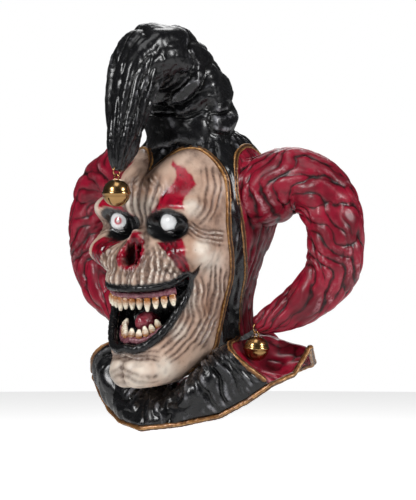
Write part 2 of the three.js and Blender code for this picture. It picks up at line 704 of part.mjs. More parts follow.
// A small ring of wire round a centre. axis is the direction through the ring.
function wireRing(centre, radius, wire, axis) {
  const start = Math.abs(axis.z) > 0.9 ? vec(1, 0, 0) : vec(0, 0, 1);
  const other = axis.clone().cross(start);
  const points = Array.from({ length: 9 }, (_, i) => {
    const angle = (2 * Math.PI * i) / 9;
    return centre.clone().addScaledVector(start, radius * Math.cos(angle)).addScaledVector(other, radius * Math.sin(angle));
  });
  return tube(points, () => round(wire, 4), () => axis, true);
}

// A hollow bell with a raised belt and a cross of slots below, and a loop on top that hangs at a point.
function bell(hang, radius) {
  const loopCentre = hang.clone().add(vec(0, 0, 2 * WIRE + CLEARANCE - LOOP_RADIUS));
  const centre = loopCentre.clone().add(vec(0, 0, -LOOP_RADIUS - radius + WIRE));
  const ball = (size, rings) => loft(Array.from({ length: rings + 1 }, (_, i) => {
    const tilt = Math.PI * lerp(0.02, 0.98, i / rings);
    return Array.from({ length: BELL_SIDES }, (_, j) => {
      const angle = (2 * Math.PI * j) / BELL_SIDES;
      const across = size * Math.sin(tilt);
      return centre.clone().add(vec(across * Math.cos(angle), across * Math.sin(angle), size * Math.cos(tilt)));
    });
  }));
  const belt = loft([-1, 1].map((end) => Array.from({ length: BELL_SIDES }, (_, j) => {
    const angle = (2 * Math.PI * j) / BELL_SIDES;
    const across = radius + BELL_WALL / 2;
    return centre.clone().add(vec(across * Math.cos(angle), across * Math.sin(angle), end * BELL_WALL / 2));
  })));
  const slot = (wide, deep) => {
    const box = new THREE.BoxGeometry(wide, deep, radius);
    box.translate(centre.x, centre.y, centre.z - 0.85 * radius);
    return solidOf(box);
  };
  return ball(radius, 5).add(belt).subtract(ball(radius - BELL_WALL, 4))
    .subtract(slot(2.4 * radius, SLOT_WIDTH)).subtract(slot(SLOT_WIDTH, 2.4 * radius))
    .add(wireRing(loopCentre, LOOP_RADIUS, WIRE, vec(0, 1, 0)));
}

const SIDE_ASIDE = vec(0, 1, 0);
const CENTRE_ASIDE = vec(1, 0, 0);
const RING_SHARE = 0.965;

// Assembly
const mask = new THREE.Group();
const largest = (solid) => solid.decompose().reduce((best, body) => (body.volume() > best.volume() ? body : best));

// A piece with its scraps and slivers left out.
function add(name, solid, material) {
  const clean = largest(solidOf(geometryOf(largest(solid))).simplify(SMALLEST_EDGE));
  const mesh = new THREE.Mesh(geometryOf(clean), material);
  mesh.name = name;
  mask.add(mesh);
}

// A piece of the wearer's left side, and its mirror image on the right.
function addPair(name, solid, material) {
  add(name + '_left', solid, material);
  add(name + '_right', mirrored(solid), material);
}

// Gold piping, and the channels that it lies in, which part the panels from each other.
const SEAM_END = 0.96; // share of the way to the hem where a seam's piping stops
const CHANNEL = PIPING + 2 * CLEARANCE; // half the width of a channel
const CHANNEL_DEPTH = 7.5;

// A path with both its ends carried straight on, past the hem.
function extended(points) {
  const beyond = (end, before) => end.clone().add(end.clone().sub(before).setLength(6 * PIPING));
  return [beyond(points[0], points[1]), ...points, beyond(points.at(-1), points.at(-2))];
}
const alongLoop = (points, count) => evenly((t) => new THREE.CatmullRomCurve3(points, true).getPoint(t), count, 400).slice(0, -1);
const alongPath = (points, count) => evenly((t) => new THREE.CatmullRomCurve3(points).getPoint(t), count, 400);
const hemLoop = [];
for (let place = -LAST_STATION; place < LAST_STATION; place += 1 / STATION_STEPS) {
  const point = collarSection(Math.abs(place)).getPoint(1);
  hemLoop.push(vec(Math.sign(place) * point.x, point.y, point.z));
}
const FACE_RUN = { points: alongLoop(FACE_EDGE, 34), loop: true, aside: fromHeadCentre };
const SEAM_RUN = { points: alongPath(seamPath(SEAM_END), 42), loop: false, aside: seamAside };
const HEM_RUN = { points: hemLoop, loop: true, aside: fromHeadCentre };
const alongPiping = (run, section, points = run.points) => tube(points, () => section, run.aside, run.loop);

// The way a seam stands out: straight out from the hood, more upwards near the crown, and up from the collar.
function seamAside(point) {
  const out = vec(point.x, point.y - HOOD_AXIS * DEPTH, 0).normalize();
  const nearCrown = clamp(1 + point.z / (0.4 * DROP), 0, 1);
  const onCollar = clamp((SNAP_HEIGHT * DROP - point.z) / (0.05 * DROP), 0, 1);
  return out.clone().setZ(0.9 * nearCrown).lerp(out.multiplyScalar(0.4).setZ(0.9), onCollar);
}
const CHANNEL_SECTION = [[CHANNEL_DEPTH, CHANNEL], [-CHANNEL_DEPTH, CHANNEL], [-CHANNEL_DEPTH, -CHANNEL], [CHANNEL_DEPTH, -CHANNEL]];
const seamChannel = alongPiping(SEAM_RUN, CHANNEL_SECTION, extended(SEAM_RUN.points));
const channels = [
  alongPiping(FACE_RUN, CHANNEL_SECTION),
  seamChannel,
  mirrored(seamChannel),
  alongPiping(HEM_RUN, round(PIPING + 2 * CLEARANCE, 6)),
];
const clearOfPiping = (solid) => channels.reduce((rest, channel) => rest.subtract(channel), solid);
add('piping_face', alongPiping(FACE_RUN, round(PIPING, 6)), GOLD_PAINT);
addPair('piping', alongPiping(SEAM_RUN, round(PIPING, 6)), GOLD_PAINT);
add('piping_hem', alongPiping(HEM_RUN, round(PIPING, 6)), GOLD_PAINT);

const lipTube = (radius) => tube(LIP_LINE, () => round(radius, 6), () => vec(0, -1, 0), true);
const eyeCentre = (side) => vec(side * 0.42 * HALF_WIDTH, -DEPTH, -0.377 * DROP);
const eye = (side, radius, detail) => solidOf(new THREE.IcosahedronGeometry(radius, detail).translate(...eyeCentre(side).toArray()));

let face = faceOuter.subtract(mouthHole()).subtract(lipTube(LIP + 2 * CLEARANCE));
for (const side of [1, -1]) face = face.subtract(eye(side, EYE_RADIUS + 3 * CLEARANCE, 1));
add('face', clearOfPiping(face), FLESH);
add('lips', lipTube(LIP), BLACK);
add('mouth_lining', mouthLining().subtract(lipTube(LIP + 2 * CLEARANCE)), BLACK);
add('eye_left', eye(1, EYE_RADIUS, 2), EYE_WHITE);
add('eye_right', eye(-1, EYE_RADIUS, 2), EYE_WHITE);

const tongueHalf = vec(0.3 * TONGUE_LENGTH, 0.5 * TONGUE_LENGTH, 0.33 * TONGUE_LENGTH);
const tongueCentre = vec(0, MOUTH_BACK - LINING - 1 - tongueHalf.y, -0.765 * DROP);
const tongue = new THREE.SphereGeometry(1, 12, 7).scale(...tongueHalf.toArray()).translate(...tongueCentre.toArray());
add('tongue', solidOf(tongue), TONGUE_RED);

for (const [name, middleIndex, reach, seat, count, down, depth] of [
  ['upper', 0, UPPER_GUM_REACH, UPPER_GUM_SEAT, UPPER_TEETH, -1, 1],
  ['lower', MOUTH_OUTLINE.length - 1, LOWER_GUM_REACH, LOWER_GUM_SEAT, LOWER_TEETH, 1, 0.8],
]) {
  const curve = gumCurve(middleIndex, reach, seat);
  const line = curve.getSpacedPoints(10);
  const gum = (radius) => tube(line, () => round(radius, 6), () => vec(0, 0, 1));
  add(name + '_gum', gum(GUM), GUM_PINK);
  for (let i = 0; i < count; i++) {
    const share = (i + 0.5) / count;
    const along = curve.getTangentAt(share).setY(0).normalize();
    const grow = vec(along.z, 0, -along.x);
    if (grow.z * down < 0) grow.negate();
    grow.add(vec(0, 0, 1.5 * down)).normalize();
    const root = curve.getPointAt(share).addScaledVector(grow, GUM - TOOTH_ROOT);
    const canine = i === Math.floor(count / 2) - 2 || i === Math.floor(count / 2) + 2 ? 1.2 : 1;
    const whole = tooth(root, grow, TOOTH_LENGTH * depth * canine, TOOTH_WIDTH);
    add(`${name}_tooth_${i + 1}`, whole.subtract(gum(GUM + CLEARANCE)), IVORY);
  }
}

const hoodOuter = hoodSolid(20, 0);
const hoodPanels = clearOfPiping(hoodOuter.subtract(hoodSolid(12, -WALL, NECK_EXTRA))).decompose();
const hoodKeepOut = hoodSolid(20, CLEARANCE);

// The body whose middle is nearest to a point, scraps left out.
const SCRAP = 2000;
function nearest(bodies, point) {
  const away = (body) => {
    const { min, max } = body.boundingBox();
    return Math.hypot(...[0, 1, 2].map((k) => (min[k] + max[k]) / 2 - point[k]));
  };
  return bodies.filter((body) => body.volume() > SCRAP).reduce((best, body) => (away(body) < away(best) ? body : best));
}

// A horn with its ring and bell: skin less hollow, clear of the hood, with a hole for the ring.
function hangingHorn(place, aside, bellRadius) {
  const tip = place(RING_SHARE);
  const centre = tip.point.clone().add(vec(0, -0.6 * tip.radius, -0.5 * tip.radius));
  const ring = (wire) => wireRing(centre, RING_RADIUS, wire, vec(1, 0, 0));
  const skin = hornTube(place, aside).subtract(hornHollow(place, aside)).subtract(hoodKeepOut);
  return {
    horn: clearOfPiping(skin.subtract(ring(WIRE + CLEARANCE))),
    ring: ring(WIRE),
    bell: bell(centre.clone().add(vec(0, 0, -RING_RADIUS)), bellRadius),
  };
}

const sidePanel = nearest(hoodPanels, [HALF_WIDTH, 0, -0.5 * DROP]);
addPair('hood', sidePanel.subtract(hornHollow(sideHornPlace, SIDE_ASIDE, NECK_INSET)), RED);
const centrePanel = nearest(hoodPanels, [0, 0, -0.4 * DROP]);
add('hood_centre', centrePanel.subtract(hornHollow(centreHornPlace, CENTRE_ASIDE, NECK_INSET)), BLACK);

const sideHorn = hangingHorn(sideHornPlace, SIDE_ASIDE, SIDE_BELL_RADIUS);
addPair('horn', sideHorn.horn, RED);
addPair('ring', sideHorn.ring, BRASS);
addPair('bell', sideHorn.bell, BRASS);
const centreHorn = hangingHorn(centreHornPlace, CENTRE_ASIDE, CENTRE_BELL_RADIUS);
add('horn_centre', centreHorn.horn, BLACK);
add('ring_centre', centreHorn.ring, BRASS);
add('bell_centre', centreHorn.bell, BRASS);

const collarPanels = clearOfPiping(collarRing()).decompose();
const collarLevel = -0.95 * DROP;
add('collar_front', nearest(collarPanels, [0, -DEPTH, collarLevel]), BLACK);
addPair('collar', nearest(collarPanels, [COLLAR_REACH, 0, collarLevel]), RED);
add('collar_back', nearest(collarPanels, [0, DEPTH, collarLevel]), BLACK);

export default mask;
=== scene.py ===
"""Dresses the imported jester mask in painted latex, brass and enamel, in soft studio light.

The form tables follow the ones the solids were made from, with small changes round the chin, and are read
at a finer step, so each skin lies on the solid that it replaces. Teeth, gums, tongue, bells and rings are
made from the frame's own nodes and boxes. Lengths are millimetres until a mesh is written, and MM turns
them into the frame's metres.
"""

from __future__ import annotations

import logging
import math
from dataclasses import dataclass, field
from enum import Enum

import bpy
import numpy as np
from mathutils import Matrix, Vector

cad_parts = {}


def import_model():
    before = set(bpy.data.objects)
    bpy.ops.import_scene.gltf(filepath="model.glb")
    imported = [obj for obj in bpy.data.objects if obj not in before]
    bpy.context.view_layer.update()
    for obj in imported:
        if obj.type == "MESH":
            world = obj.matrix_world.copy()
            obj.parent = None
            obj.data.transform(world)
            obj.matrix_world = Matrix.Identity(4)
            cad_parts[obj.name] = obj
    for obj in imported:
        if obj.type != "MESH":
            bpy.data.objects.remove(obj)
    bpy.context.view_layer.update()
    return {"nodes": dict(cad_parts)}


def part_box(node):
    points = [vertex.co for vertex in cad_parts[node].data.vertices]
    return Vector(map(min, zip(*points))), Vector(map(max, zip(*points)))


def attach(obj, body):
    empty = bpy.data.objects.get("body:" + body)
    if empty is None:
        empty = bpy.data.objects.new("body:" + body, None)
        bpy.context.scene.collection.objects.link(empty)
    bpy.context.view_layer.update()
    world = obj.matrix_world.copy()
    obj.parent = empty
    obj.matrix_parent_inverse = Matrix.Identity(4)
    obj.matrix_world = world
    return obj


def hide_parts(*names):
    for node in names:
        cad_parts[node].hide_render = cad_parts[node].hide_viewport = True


MM = 0.001
BODY = "root"
LOG = logging.getLogger("jester_mask")
FRAME_NODES: dict[str, bpy.types.Object] = {}

Array = np.ndarray
Colour = tuple[float, float, float, float]


class Side(Enum):
    """A side of the wearer, as the sign of X."""

    LEFT = 1
    RIGHT = -1

    @property
    def word(self) -> str:
        """The side's name as nodes and pieces spell it."""
        return self.name.lower()


class Tone(Enum):
    """A value kept on each point of a skin, which its paint reads."""

    # The crease tone marks painted shade in the creases over a dark glaze, and the ridge tone a painted
    # highlight on the ridges with pale paint.
    CREASE = "crease"
    RIDGE = "ridge"
    RED = "red_paint"
    BLACK = "black_paint"
    # Pale cream on the face's bulges, partly pale paint and partly a painted highlight.
    PALE = "pale_paint"
    ROOT = "root"


# Numbers over a whole surface


def unit(vectors: Array) -> Array:
    """Scales vectors to length one."""
    return vectors / np.maximum(np.linalg.norm(vectors, axis=-1, keepdims=True), 1e-9)


def ease(low: float, high: float, values: Array) -> Array:
    """Goes smoothly from 0 at low to 1 at high.

    Args:
        low: Where the rise starts.
        high: Where the rise ends, which may lie under low.
        values: The values to read.

    Returns:
        One share between 0 and 1 for each value.
    """
    part = np.clip((values - low) / (high - low), 0.0, 1.0)
    return part * part * (3.0 - 2.0 * part)


def hump(values: Array, middle: float, spread: float) -> Array:
    """A smooth hump of height one round a middle."""
    return np.exp(-(((values - middle) / spread) ** 2))


@dataclass(frozen=True)
class Table:
    """Rows of named columns, read smoothly at any share of their length."""

    columns: str
    rows: tuple[tuple[float, ...], ...]

    def read(self, shares: Array | float) -> dict[str, Array]:
        """Reads every column at shares of the table's length.

        Args:
            shares: Shares from 0 at the first row to 1 at the last.

        Returns:
            One array for each column name.
        """
        rows = np.array(self.rows, float)
        last = len(rows) - 1
        place = np.clip(np.atleast_1d(np.asarray(shares, float)), 0.0, 1.0) * last
        low = np.minimum(np.floor(place).astype(int), last - 1)
        part = (place - low)[:, None]
        a, b, c, d = (rows[np.clip(low + step, 0, last)] for step in (-1, 0, 1, 2))
        bend = 2 * a - 5 * b + 4 * c - d + part * (3 * (b - c) + d - a)
        read = b + 0.5 * part * (c - a + part * bend)
        return dict(zip(self.columns.split(), read.T))

    def column(self, name: str) -> Array:
        """One column as it is written."""
        return np.array(self.rows, float)[:, self.columns.split().index(name)]


@dataclass(frozen=True)
class Lumps:
    """Smooth random lumps in space, the same on each run."""

    seed: int
    size: int = 32

    def at(self, places: Array) -> Array:
        """Reads the lumps.

        Args:
            places: Points in lattice steps, with two or three coordinates each.

        Returns:
            A value between -1 and 1 for each point.
        """
        if places.shape[-1] == 2:
            level = np.full(places.shape[:-1] + (1,), 0.37 * self.seed)
            places = np.concatenate([places, level], axis=-1)
        lattice = np.random.default_rng(self.seed).uniform(-1.0, 1.0, (self.size,) * 3)
        cell = np.floor(places).astype(int)
        part = places - cell
        part = part * part * (3.0 - 2.0 * part)
        total = np.zeros(places.shape[:-1])
        for corner in np.ndindex(2, 2, 2):
            x, y, z = np.moveaxis((cell + np.array(corner)) % self.size, -1, 0)
            weight = np.prod(np.where(np.array(corner) == 1, part, 1.0 - part), axis=-1)
            total += weight * lattice[x, y, z]
        return total

    def folds(self, places: Array) -> Array:
        """Rounded folds with sharp creases between them.

        Args:
            places: Points in lattice steps.

        Returns:
            0 in a crease, rising to 1 on the back of a fold.
        """
        return np.minimum(np.abs(self.at(places)) * 1.9, 1.0) ** 0.6


def blurred(values: Array, times: int, closed: bool = False) -> Array:
    """Smooths a sheet of values.

    Args:
        values: Rows by columns.
        times: How often each value is mixed with its neighbours.
        closed: Whether the columns run round.

    Returns:
        The smoothed sheet.
    """
    for _ in range(times):
        padded = np.pad(values, ((1, 1), (0, 0)), mode="edge")
        values = (padded[:-2] + 2 * values + padded[2:]) / 4
        padded = np.pad(values, ((0, 0), (1, 1)), mode="wrap" if closed else "edge")
        values = (padded[:, :-2] + 2 * values + padded[:, 2:]) / 4
    return values


def outline_depth(places: Array, outline: Array) -> Array:
    """How far points lie inside a closed outline.

    Args:
        places: Flat points, any shape ending in 2.
        outline: Corners in order.

    Returns:
        The distance to the outline, positive inside it.
    """
    closest = np.full(places.shape[:-1], np.inf)
    inside = np.zeros(places.shape[:-1], bool)
    for start, end in zip(outline, np.roll(outline, -1, axis=0)):
        run = end - start
        part = np.clip(((places - start) @ run) / max(run @ run, 1e-9), 0.0, 1.0)
        closest = np.minimum(closest, np.linalg.norm(places - start - part[..., None] * run, axis=-1))
        spans = (start[1] > places[..., 1]) != (end[1] > places[..., 1])
        rise = run[1] if abs(run[1]) > 1e-9 else 1e-9
        crossing = start[0] + (places[..., 1] - start[1]) * run[0] / rise
        inside ^= spans & (places[..., 0] < crossing)
    return np.where(inside, closest, -closest)


def spine_place(places: Array, spine: Array) -> tuple[Array, Array]:
    """Where points lie beside a spine.

    Args:
        places: Flat points, any shape ending in 2.
        spine: The spine's corners.

    Returns:
        The distance beside the spine, positive on its right in the picture, and the length along it.
    """
    beside = np.full(places.shape[:-1], np.inf)
    along = np.zeros(places.shape[:-1])
    run_before = 0.0
    for start, end in zip(spine[:-1], spine[1:]):
        run = end - start
        length = float(np.linalg.norm(run))
        part = np.clip(((places - start) @ run) / length**2, 0.0, 1.0)
        away = places - start - part[..., None] * run
        distance = np.linalg.norm(away, axis=-1)
        sign = np.where(run[0] * away[..., 1] - run[1] * away[..., 0] > 0, -1.0, 1.0)
        closer = distance < np.abs(beside)
        beside = np.where(closer, sign * distance, beside)
        along = np.where(closer, run_before + part * length, along)
        run_before += length
    return beside, along


def nearest(points: Array, targets: Array) -> Array:
    """The distance from each point to the nearest of a few targets.

    Args:
        points: Points, any shape ending in 3.
        targets: The targets.

    Returns:
        One distance for each point.
    """
    found = np.full(points.shape[:-1], np.inf)
    for target in targets:
        found = np.minimum(found, np.linalg.norm(points - target, axis=-1))
    return found


def evenly(points: Array, count: int) -> Array:
    """Spaces points evenly along a line.

    Args:
        points: The line's points.
        count: How many steps to make.

    Returns:
        count + 1 points.
    """
    run = np.concatenate([[0.0], np.cumsum(np.linalg.norm(np.diff(points, axis=0), axis=1))])
    wanted = np.linspace(0.0, run[-1], count + 1)
    return np.stack([np.interp(wanted, run, points[:, k]) for k in range(3)], axis=1)


def curve_through(points: Array, count: int, closed: bool = False) -> Array:
    """A smooth line through points, evenly spaced.

    Args:
        points: The points to pass.
        count: How many steps to make.
        closed: Whether the line joins its own start.

    Returns:
        The line's points, without a repeated last one where it is closed.
    """
    padded = np.concatenate([points[-3:], points, points[:3]]) if closed else points
    table = Table("x y z", tuple(map(tuple, padded)))
    last = len(padded) - 1
    ends = (3 / last, (3 + len(points)) / last) if closed else (0.0, 1.0)
    read = table.read(np.linspace(*ends, 12 * len(points)))
    line = evenly(np.stack([read["x"], read["y"], read["z"]], axis=1), count)
    return line[:-1] if closed else line


# Skins


@dataclass
class Skin:
    """A sheet of points that becomes a mesh, with the tones its paint reads."""

    points: Array
    round_columns: bool = False
    looped_rows: bool = False
    tones: dict[Tone, Array] = field(default_factory=dict)

    def normals(self) -> Array:
        """The outward direction at each point.

        Returns:
            Rows and columns of unit vectors.
        """
        if self.looped_rows:
            down = np.roll(self.points, -1, axis=0) - np.roll(self.points, 1, axis=0)
        else:
            down = np.gradient(self.points, axis=0)
        if not self.round_columns:
            return unit(np.cross(down, np.gradient(self.points, axis=1)))
        across = np.roll(self.points, -1, axis=1) - np.roll(self.points, 1, axis=1)
        normals = unit(np.cross(down, across))
        middle = self.points.mean(axis=1, keepdims=True)
        outward = np.sum(normals * (self.points - middle)) > 0
        return normals if outward else -normals

    def raised(self, height: Array) -> Skin:
        """The same skin, lifted along its normals by a height at each point."""
        points = self.points + self.normals() * height[..., None]
        return Skin(points, self.round_columns, self.looped_rows, dict(self.tones))

    def shaded_from_relief(self, height: Array, scale: float, reach: int = 10) -> Skin:
        """The skin with its crease and ridge tones read from a relief: painted shade in its creases and a
        painted highlight on its ridges.

        Args:
            height: The fine relief.
            scale: How many millimetres of relief make a full tone.
            reach: How far round a point the relief is compared with.

        Returns:
            The same skin.
        """
        level = height - blurred(height, reach, self.round_columns)
        self.tones[Tone.CREASE] = np.clip(-2.1 * level / scale - 0.1, 0.0, 1.0)
        self.tones[Tone.RIDGE] = np.clip((level / scale - 0.3) / 0.7, 0.0, 1.0)
        return self

    def unshaded(self) -> Skin:
        """The skin with empty crease and ridge tones, so no painted shade or highlight, for metal and enamel.
        """
        self.tones.update({tone: np.zeros(self.points.shape[:2]) for tone in (Tone.CREASE, Tone.RIDGE)})
        return self

    def quads(self) -> Array:
        """The faces, each as four point numbers, seen from outside.

        Returns:
            One row of four numbers for each face.
        """
        rows, columns = self.points.shape[:2]
        number = np.arange(rows * columns).reshape(rows, columns)
        if self.round_columns:
            number = np.concatenate([number, number[:, :1]], axis=1)
        if self.looped_rows:
            number = np.concatenate([number, number[:1]], axis=0)
        corners = [number[:-1, :-1], number[1:, :-1], number[1:, 1:], number[:-1, 1:]]
        quads = np.stack(corners, axis=-1).reshape(-1, 4)
        flat = self.points.reshape(-1, 3)
        facing = np.cross(flat[quads[:, 2]] - flat[quads[:, 0]], flat[quads[:, 3]] - flat[quads[:, 1]])
        normals = self.normals().reshape(-1, 3)[quads[:, 0]]
        return quads if np.sum(facing * normals) > 0 else quads[:, ::-1]

    def piece(self, name: str, wall: float = 0.0, kept: Array | None = None) -> bpy.types.Object:
        """Writes the skin as a mesh object.

        Args:
            name: The piece's name.
            wall: Thickness of the wall behind the skin, or 0 for a skin that closes by itself.
            kept: Which points stay, or all of them.

        Returns:
            The new object.
        """
        quads = self.quads()
        if kept is not None:
            quads = quads[kept.reshape(-1)[quads].all(axis=1)]
        used, quads = np.unique(quads, return_inverse=True)
        quads = quads.reshape(-1, 4)
        points = self.points.reshape(-1, 3)[used]
        tones = {tone: values.reshape(-1)[used] for tone, values in self.tones.items()}
        if wall:
            count = len(points)
            inner = points - self.normals().reshape(-1, 3)[used] * wall
            edges = np.stack([quads, np.roll(quads, -1, axis=1)], axis=-1).reshape(-1, 2)
            border = edges[~np.isin(edges[:, 0] * count + edges[:, 1], edges[:, 1] * count + edges[:, 0])]
            rim = np.stack([border[:, 1], border[:, 0], border[:, 0] + count, border[:, 1] + count], axis=1)
            quads = np.concatenate([quads, quads[:, ::-1] + count, rim])
            points = np.concatenate([points, inner])
            tones = {tone: np.concatenate([values, values]) for tone, values in tones.items()}
        return mesh_object(name, points, quads, tones)


def mesh_object(name: str, points: Array, quads: Array, tones: dict[Tone, Array]) -> bpy.types.Object:
    """Writes a mesh of quads.

    Args:
        name: The object's name.
        points: Its points in millimetres.
        quads: Four point numbers for each face.
        tones: The values kept on the points.

    Returns:
        The new object.
    """
    mesh = bpy.data.meshes.new(name)
    mesh.vertices.add(len(points))
    mesh.vertices.foreach_set("co", (points * MM).astype(np.float32).ravel())
    mesh.loops.add(quads.size)
    mesh.loops.foreach_set("vertex_index", quads.astype(np.int32).ravel())
    mesh.polygons.add(len(quads))
    mesh.polygons.foreach_set("loop_start", np.arange(0, quads.size, 4, dtype=np.int32))
    mesh.update(calc_edges=True)
    for tone, values in tones.items():
        attribute = mesh.attributes.new(tone.value, "FLOAT", "POINT")
        attribute.data.foreach_set("value", values.astype(np.float32).ravel())
    mesh.shade_smooth()
    made = bpy.data.objects.new(name, mesh)
    bpy.context.scene.collection.objects.link(made)
    return made


@dataclass
class Tube:
    """A tube along a path, with a way that counts as outward at each of its points."""

    path: Array
    outward: Array
    closed: bool = False

    def skin(self, reach: Array) -> Skin:
        """Builds the tube.

        Args:
            reach: Distance from the path, a row for each path point and a column for each turn.

        Returns:
            The tube's skin.
        """
        if self.closed:
            along = unit(np.roll(self.path, -1, axis=0) - np.roll(self.path, 1, axis=0))
        else:
            along = unit(np.gradient(self.path, axis=0))
        upright = unit(self.outward - np.sum(self.outward * along, axis=1, keepdims=True) * along)
        sideways = np.cross(along, upright)
        turn = np.linspace(0.0, 2 * math.pi, reach.shape[1], endpoint=False)[None, :, None]
        spoke = np.cos(turn) * upright[:, None] + np.sin(turn) * sideways[:, None]
        return Skin(self.path[:, None] + spoke * reach[..., None], True, self.closed)


def rounded_ends(shares: Array, length: float) -> Array:
    """The shrink of a tube's radius that rounds off both its ends.

    Args:
        shares: Shares of the tube's length.
        length: The share that one end takes.

    Returns:
        0 at the ends and 1 between them.
    """
    near = np.clip(np.minimum(shares, 1.0 - shares) / length, 0.0, 1.0)
    return np.sqrt(1.0 - (1.0 - near) ** 2)


# Paint and shaders


class Nodes:
    """Writes nodes into a tree and joins them."""

    def __init__(self, tree: bpy.types.NodeTree) -> None:
        """Takes the tree to write into."""
        self.tree = tree

    def add(self, kind: str, **settings: object) -> bpy.types.Node:
        """Adds a node with its settings.

        Args:
            kind: The node's type.
            settings: Properties to set on it.

        Returns:
            The new node.
        """
        node = self.tree.nodes.new(kind)
        for name, value in settings.items():
            setattr(node, name, value)
        return node

    def feed(self, socket: bpy.types.NodeSocket, value: object) -> None:
        """Links an output to a socket, or sets the socket's own value.

        Args:
            socket: The input to feed.
            value: An output, or a plain value.
        """
        if isinstance(value, bpy.types.NodeSocket):
            self.tree.links.new(value, socket)
        else:
            socket.default_value = value

    def tone(self, tone: Tone) -> bpy.types.NodeSocket:
        """The value a skin keeps under a tone's name."""
        return self.add("ShaderNodeAttribute", attribute_name=tone.value).outputs["Fac"]

    def place(self, stretch: tuple[float, float, float] = (1.0, 1.0, 1.0)) -> bpy.types.NodeSocket:
        """The place on the object, in metres, stretched along its axes.

        Args:
            stretch: How many times each axis is stretched.

        Returns:
            The place's output.
        """
        mapping = self.add("ShaderNodeMapping")
        self.feed(mapping.inputs["Vector"], self.add("ShaderNodeTexCoord").outputs["Object"])
        mapping.inputs["Scale"].default_value = stretch
        return mapping.outputs["Vector"]

    def noise(self, scale: object, detail: float = 3.0, where: object = None) -> bpy.types.NodeSocket:
        """A soft random value between 0 and 1.

        Args:
            scale: Lumps to the metre, as a number or an output.
            detail: How many finer layers it has.
            where: The place to read, or the place on the object.

        Returns:
            The value's output.
        """
        node = self.add("ShaderNodeTexNoise")
        self.feed(node.inputs["Vector"], where or self.place())
        self.feed(node.inputs["Scale"], scale)
        node.inputs["Detail"].default_value = detail
        return node.outputs["Fac"]

    def maths(self, operation: str, first: object, second: object = 0.0) -> bpy.types.NodeSocket:
        """One sum of two values, kept between 0 and 1 by its user where that matters.

        Args:
            operation: What is done with the values.
            first: The first value.
            second: The second value.

        Returns:
            The result's output.
        """
        node = self.add("ShaderNodeMath", operation=operation)
        self.feed(node.inputs[0], first)
        self.feed(node.inputs[1], second)
        return node.outputs[0]

    def span(
        self, value: object, low: float, high: float, start: float = 0.0, end: float = 1.0
    ) -> bpy.types.NodeSocket:
        """Maps low and high of a value to start and end, held between them.

        Args:
            value: The value to map.
            low: The value that gives start.
            high: The value that gives end.
            start: The result at low.
            end: The result at high.

        Returns:
            The result's output.
        """
        node = self.add("ShaderNodeMapRange")
        self.feed(node.inputs["Value"], value)
        for name, number in (("From Min", low), ("From Max", high), ("To Min", start), ("To Max", end)):
            node.inputs[name].default_value = number
        return node.outputs["Result"]


def mixed_colour(nodes: Nodes, share: object, first: object, second: object) -> bpy.types.NodeSocket:
    """Mixes two colours.

    Args:
        nodes: Where the node goes.
        share: How much of the second colour shows.
        first: The colour under it.
        second: The colour over it.

    Returns:
        The mixed colour's output.
    """
    node = nodes.add("ShaderNodeMix", data_type="RGBA")
    under, over = (socket for socket in node.inputs if socket.type == "RGBA")
    nodes.feed(node.inputs[0], share)
    nodes.feed(under, first)
    nodes.feed(over, second)
    return next(socket for socket in node.outputs if socket.type == "RGBA")


class Effect(Enum):
    """A shader effect that several finishes share."""

    # The relief paint: painted shade with a dark glaze in creases, and a painted highlight with pale paint on
    # ridges.
    BRUSHED = "Brushed and lit relief"
    GRAIN = "Latex grain"


def new_group(
    effect: Effect, inputs: tuple[tuple[str, str], ...], outputs: tuple[tuple[str, str], ...]
) -> tuple[bpy.types.NodeTree, Nodes, bpy.types.Node, bpy.types.Node]:
    """Makes an empty node group with named sockets.

    Args:
        effect: The effect that the group gives.
        inputs: Names and kinds of its inputs.
        outputs: Names and kinds of its outputs.

    Returns:
        The group's tree, its node writer, its input node and its output node.
    """
    tree = bpy.data.node_groups.new(effect.value, "ShaderNodeTree")
    for in_out, sockets in (("INPUT", inputs), ("OUTPUT", outputs)):
        for name, kind in sockets:
            tree.interface.new_socket(name=name, in_out=in_out, socket_type=kind)
    nodes = Nodes(tree)
    return tree, nodes, nodes.add("NodeGroupInput"), nodes.add("NodeGroupOutput")


def brushed_and_lit_group() -> bpy.types.NodeTree:
    """Painted shade over a dark glaze in the creases, and a painted highlight with pale paint rubbed over the
    ridges.

    Returns:
        The group's tree.
    """
    tree, nodes, given, out = new_group(
        Effect.BRUSHED,
        (
            ("Colour", "NodeSocketColor"),
            ("Wash", "NodeSocketColor"),
            ("Brush", "NodeSocketColor"),
            ("Crease", "NodeSocketFloat"),
            ("Ridge", "NodeSocketFloat"),
            ("Scale", "NodeSocketFloat"),
        ),
        (("Colour", "NodeSocketColor"), ("Brushed", "NodeSocketFloat")),
    )
    streaks = nodes.span(nodes.noise(given.outputs["Scale"], 5.0), 0.38, 0.62)
    brushed_and_lit = nodes.maths("MULTIPLY", given.outputs["Ridge"], streaks)
    washed_and_shaded = nodes.maths("MULTIPLY", given.outputs["Crease"], nodes.span(streaks, 0.0, 1.0, 0.75, 1.0))
    under = mixed_colour(nodes, washed_and_shaded, given.outputs["Colour"], given.outputs["Wash"])
    nodes.feed(out.inputs["Colour"], mixed_colour(nodes, brushed_and_lit, under, given.outputs["Brush"]))
    nodes.feed(out.inputs["Brushed"], brushed_and_lit)
    return tree


